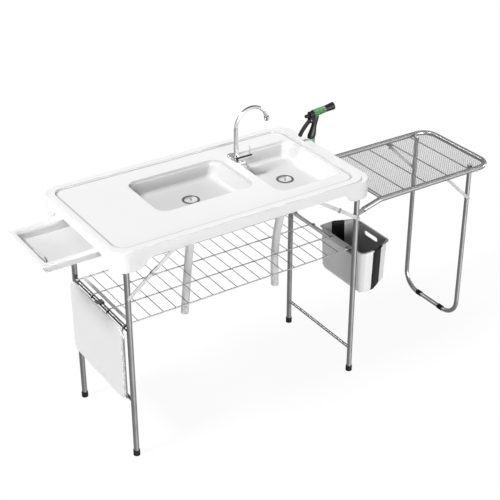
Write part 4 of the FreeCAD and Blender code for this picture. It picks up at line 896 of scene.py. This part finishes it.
@dataclass
class WireNet:
    """The side table's fine net of crossing strands, held between its rods and its frame.

    Its sizes are in millimetres in the CAD model's frame.
    """

    start: tuple = (414.5, -195.0)
    end: tuple = (996.5, 195.0)
    corner: float = 42.0
    base: float = 770.0
    height: float = 1.5
    thickness: float = 0.9
    strand: float = 1.45
    pitch: float = 8.5
    samples: int = 80
    halvings: int = 20

    def inside(self, x: float, y: float) -> bool:
        """Whether a point is on the net, whose outer corners are round."""
        if not (self.start[0] <= x <= self.end[0] and self.start[1] <= y <= self.end[1]):
            return False
        dx = x - (self.end[0] - self.corner)
        dy = abs(y) - (self.end[1] - self.corner)
        return dx <= 0 or dy <= 0 or math.hypot(dx, dy) <= self.corner

    def limit(self, inner: tuple, outer: tuple) -> tuple:
        """The edge of the net between a point on it and one beyond it."""
        for _ in range(self.halvings):
            middle = ((inner[0] + outer[0]) / 2, (inner[1] + outer[1]) / 2)
            if self.inside(*middle):
                inner = middle
            else:
                outer = middle
        return inner

    def strands(self, mesh: Mesh, slope: int, low: float) -> None:
        """Lays the strands that run one way.

        Args:
            mesh: where they go.
            slope: 1 or -1, the way they cross the table.
            low: their underside in millimetres.
        """
        width = self.end[1] - self.start[1]
        step = self.pitch * math.sqrt(2.0)
        count = int((self.end[0] - self.start[0] + width) / step)
        crossed = [width * t / self.samples for t in range(self.samples + 1)]
        for i in range(count):
            foot = self.start[0] - width + (i + 0.5) * step
            line = [(foot + way, slope * (self.start[1] + way)) for way in crossed]
            hits = [k for k, point in enumerate(line) if self.inside(*point)]
            if len(hits) < 2:
                continue
            first = self.limit(line[hits[0]], line[max(hits[0] - 1, 0)])
            last = self.limit(line[hits[-1]], line[min(hits[-1] + 1, self.samples)])
            self.strip(mesh, first, last, low)

    def strip(self, mesh: Mesh, first: tuple, last: tuple, low: float) -> None:
        """One flat strand between two points."""
        along = Vector((last[0] - first[0], last[1] - first[1], 0.0)).normalized()
        across = Vector((-along.y, along.x, 0.0)) * (self.strand / 2)
        high = low + self.thickness
        corners = ((-1, low), (1, low), (1, high), (-1, high))
        mesh.rings([
            [Vector((x, y, z)) * MILLI + across * (side * MILLI) for side, z in corners]
            for x, y in (first, last)
        ])

    def build(self) -> bpy.types.Object:
        """Two crossing layers of strands."""
        mesh = Mesh()
        self.strands(mesh, 1, self.base)
        self.strands(mesh, -1, self.base + self.height - self.thickness)
        net = mesh.make("side_net", Look.MESH, smooth=False)
        return attach(net, "side_table", ["side_mesh"])


@dataclass
class LedgeScrews:
    """Small raised screws along the right ledge, each with a round recess."""

    places: tuple = ((492.0, 186.0), (492.0, 20.0), (492.0, -107.0))
    ledge: float = 934.0
    radius: float = 3.4
    height: float = 1.6
    angles: tuple = (0.0, 0.35, 0.7, 1.05)
    recess_share: float = 0.42
    recess_top_share: float = 0.8
    recess_floor_share: float = 0.3
    recess_floor: float = 0.0002
    sides: int = 20

    def build(self) -> bpy.types.Object:
        """Domed heads that sink in the middle."""
        mesh = Mesh()
        profile = dome(self.radius, self.height, self.angles)
        profile += [
            (self.radius * self.recess_share * MILLI, self.height * self.recess_top_share * MILLI),
            (self.recess_floor, self.height * self.recess_floor_share * MILLI),
        ]
        for x, y in self.places:
            mesh.lathe(spot(x, y, self.ledge), Vector((0.0, 0.0, 1.0)), profile, self.sides)
        screws = mesh.make("ledge_screws", Look.RAIL)
        return attach(screws, "stand")


@dataclass
class LegButton:
    """The black spring button that stands out of the left back leg above its crossbar."""

    place: tuple = (-513.0, 212.0, 583.0)
    radius: float = 4.6
    reach: float = 3.2
    root: float = -0.002
    angles: tuple = (0.0, 0.4, 0.8, 1.2)
    sides: int = 20

    def build(self) -> bpy.types.Object:
        """A dome whose foot lies inside the tube."""
        mesh = Mesh()
        profile = [(self.radius * MILLI, self.root)] + dome(self.radius, self.reach, self.angles)
        mesh.lathe(spot(*self.place), Vector((0.0, -1.0, 0.0)), profile, self.sides)
        return attach(mesh.make("leg_button", Look.RUBBER), "stand")


@dataclass(frozen=True)
class Lamp:
    """One distant lamp.

    Attributes:
        name: its name.
        source: the direction that it shines from.
        strength: its irradiance in watts per square metre.
        spread: the angle that it fills, in degrees.
        gloss_only: whether matt surfaces stay out of its light.
    """

    name: str
    source: tuple
    strength: float
    spread: float
    gloss_only: bool = True
    distance: ClassVar[float] = 4.0

    def build(self) -> None:
        """Adds the lamp to the scene."""
        data = bpy.data.lights.new(self.name, "SUN")
        data.energy = self.strength
        data.angle = math.radians(self.spread)
        lamp = bpy.data.objects.new(self.name, data)
        lamp.location = Vector(self.source) * self.distance
        lamp.rotation_euler = Vector(self.source).to_track_quat("Z", "Y").to_euler()
        lamp.visible_diffuse = not self.gloss_only
        bpy.context.scene.collection.objects.link(lamp)


# A soft key from above left, a weaker light in front, and four lamps that only gloss shows.
LAMPS = (
    Lamp("key", (-0.63, 0.02, 0.78), 3.75, 16.0, gloss_only=False),
    Lamp("front", (-0.20, -0.97, 0.10), 2.0, 24.0, gloss_only=False),
    Lamp("strip", (0.03, -1.0, 0.05), 19.0, 5.0),
    Lamp("edge", (0.95, -0.30, 0.10), 3.0, 16.0),
    Lamp("ceiling", (0.47, -0.20, 0.86), 0.5, 12.0),
    Lamp("rear", (-0.40, 0.727, 0.558), 1.6, 5.0),
)


@dataclass
class Studio:
    """Camera, lamps, floor and world. The camera's place is in millimetres."""

    lens: float = 86.412
    sensor: float = 36.0
    clip_end: float = 200.0
    place: tuple = (-2129.04, -3490.83, 2978.13)
    pitch: float = 29.7973
    yaw: float = 33.1708
    floor_span: float = 60.0
    ambient: float = 0.06
    floor_grey: float = 0.6
    floor_white: float = 0.9
    floor_strength: float = 1.05

    def build(self) -> None:
        """Sets up everything round the stand."""
        self.camera()
        self.world()
        self.floor()
        for lamp in LAMPS:
            lamp.build()
        bpy.context.scene.view_settings.view_transform = "Standard"

    def camera(self) -> None:
        """The photograph's view."""
        data = bpy.data.cameras.new("camera")
        data.lens = self.lens
        data.sensor_width = self.sensor
        data.clip_end = self.clip_end
        camera = bpy.data.objects.new("camera", data)
        camera.location = spot(*self.place)
        tilt = math.pi / 2 - math.radians(self.pitch)
        camera.rotation_euler = (tilt, 0.0, -math.radians(self.yaw))
        bpy.context.scene.collection.objects.link(camera)
        bpy.context.scene.camera = camera

    @staticmethod
    def open_rays(graph: Graph) -> Signal:
        """1 for the rays of the camera, of gloss and of clear parts, else 0."""
        seen = graph.add("ShaderNodeLightPath", output="Is Camera Ray")
        gloss = graph.add("ShaderNodeLightPath", output="Is Glossy Ray")
        clear = graph.add("ShaderNodeLightPath", output="Is Transmission Ray")
        return seen.most(gloss).most(clear)

    def world(self) -> None:
        """Even light on the surfaces, and a white wall behind them."""
        world = bpy.data.worlds.new("room")
        bpy.context.scene.world = world
        world.use_nodes = True
        graph = Graph(world.node_tree)
        strength = self.open_rays(graph) * (1.0 - self.ambient) + self.ambient
        inputs = {"Color": rgba(WHITE), "Strength": strength}
        background = graph.add("ShaderNodeBackground", {}, inputs)
        graph.add("ShaderNodeOutputWorld", {}, {"Surface": background})

    def floor(self) -> None:
        """A plain white floor that keeps a soft shadow."""
        half = self.floor_span / 2
        corners = ((-half, -half, 0.0), (half, -half, 0.0), (half, half, 0.0), (-half, half, 0.0))
        data = bpy.data.meshes.new("floor")
        data.from_pydata(corners, [], [(0, 1, 2, 3)])
        data.materials.append(self.floor_material())
        floor = bpy.data.objects.new("floor", data)
        bpy.context.scene.collection.objects.link(floor)

    def floor_material(self) -> bpy.types.Material:
        """Matt grey for the light that it sends back, near white for the eye."""
        material = bpy.data.materials.new("floor")
        material.use_nodes = True
        graph = Graph(material.node_tree)
        matt = graph.add("ShaderNodeBsdfDiffuse", {}, {"Color": rgba(grey(self.floor_grey))})
        glow = {"Color": rgba(WHITE), "Strength": self.floor_strength}
        white = graph.add("ShaderNodeEmission", {}, glow)
        share = self.open_rays(graph) * self.floor_white
        mixed = graph.add("ShaderNodeMixShader", {}, {0: share, 1: matt, 2: white})
        graph.add("ShaderNodeOutputMaterial", {}, {"Surface": mixed})
        return material


LEFT_HOSE = (
    (-92, 38.5, 818), (-92, 38.5, 735), (-108, 39.5, 625), (-121, 40.5, 495), (-133, 40.5, 371),
)
RIGHT_HOSE = (
    (309, -12.5, 818), (309, -12.5, 765), (278, -13.5, 675),
    (265, -14.5, 580), (261, -14.5, 487), (266, -14.5, 400),
)
LEFT_HOSE_LENGTH = 0.449
RIGHT_HOSE_LENGTH = 0.423


def main() -> None:
    """Builds the scene in order."""
    logging.basicConfig(level=logging.INFO, format="%(message)s")
    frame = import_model()
    Studio().build()
    DrainHose("left_drain_hose_ribbed", LEFT_HOSE, LEFT_HOSE_LENGTH).build()
    DrainHose("right_drain_hose_ribbed", RIGHT_HOSE, RIGHT_HOSE_LENGTH).build()
    WireNet().build()
    LedgeScrews().build()
    LegButton().build()
    dress(frame, NODE_LOOKS)


if __name__ == "__main__":
    main()
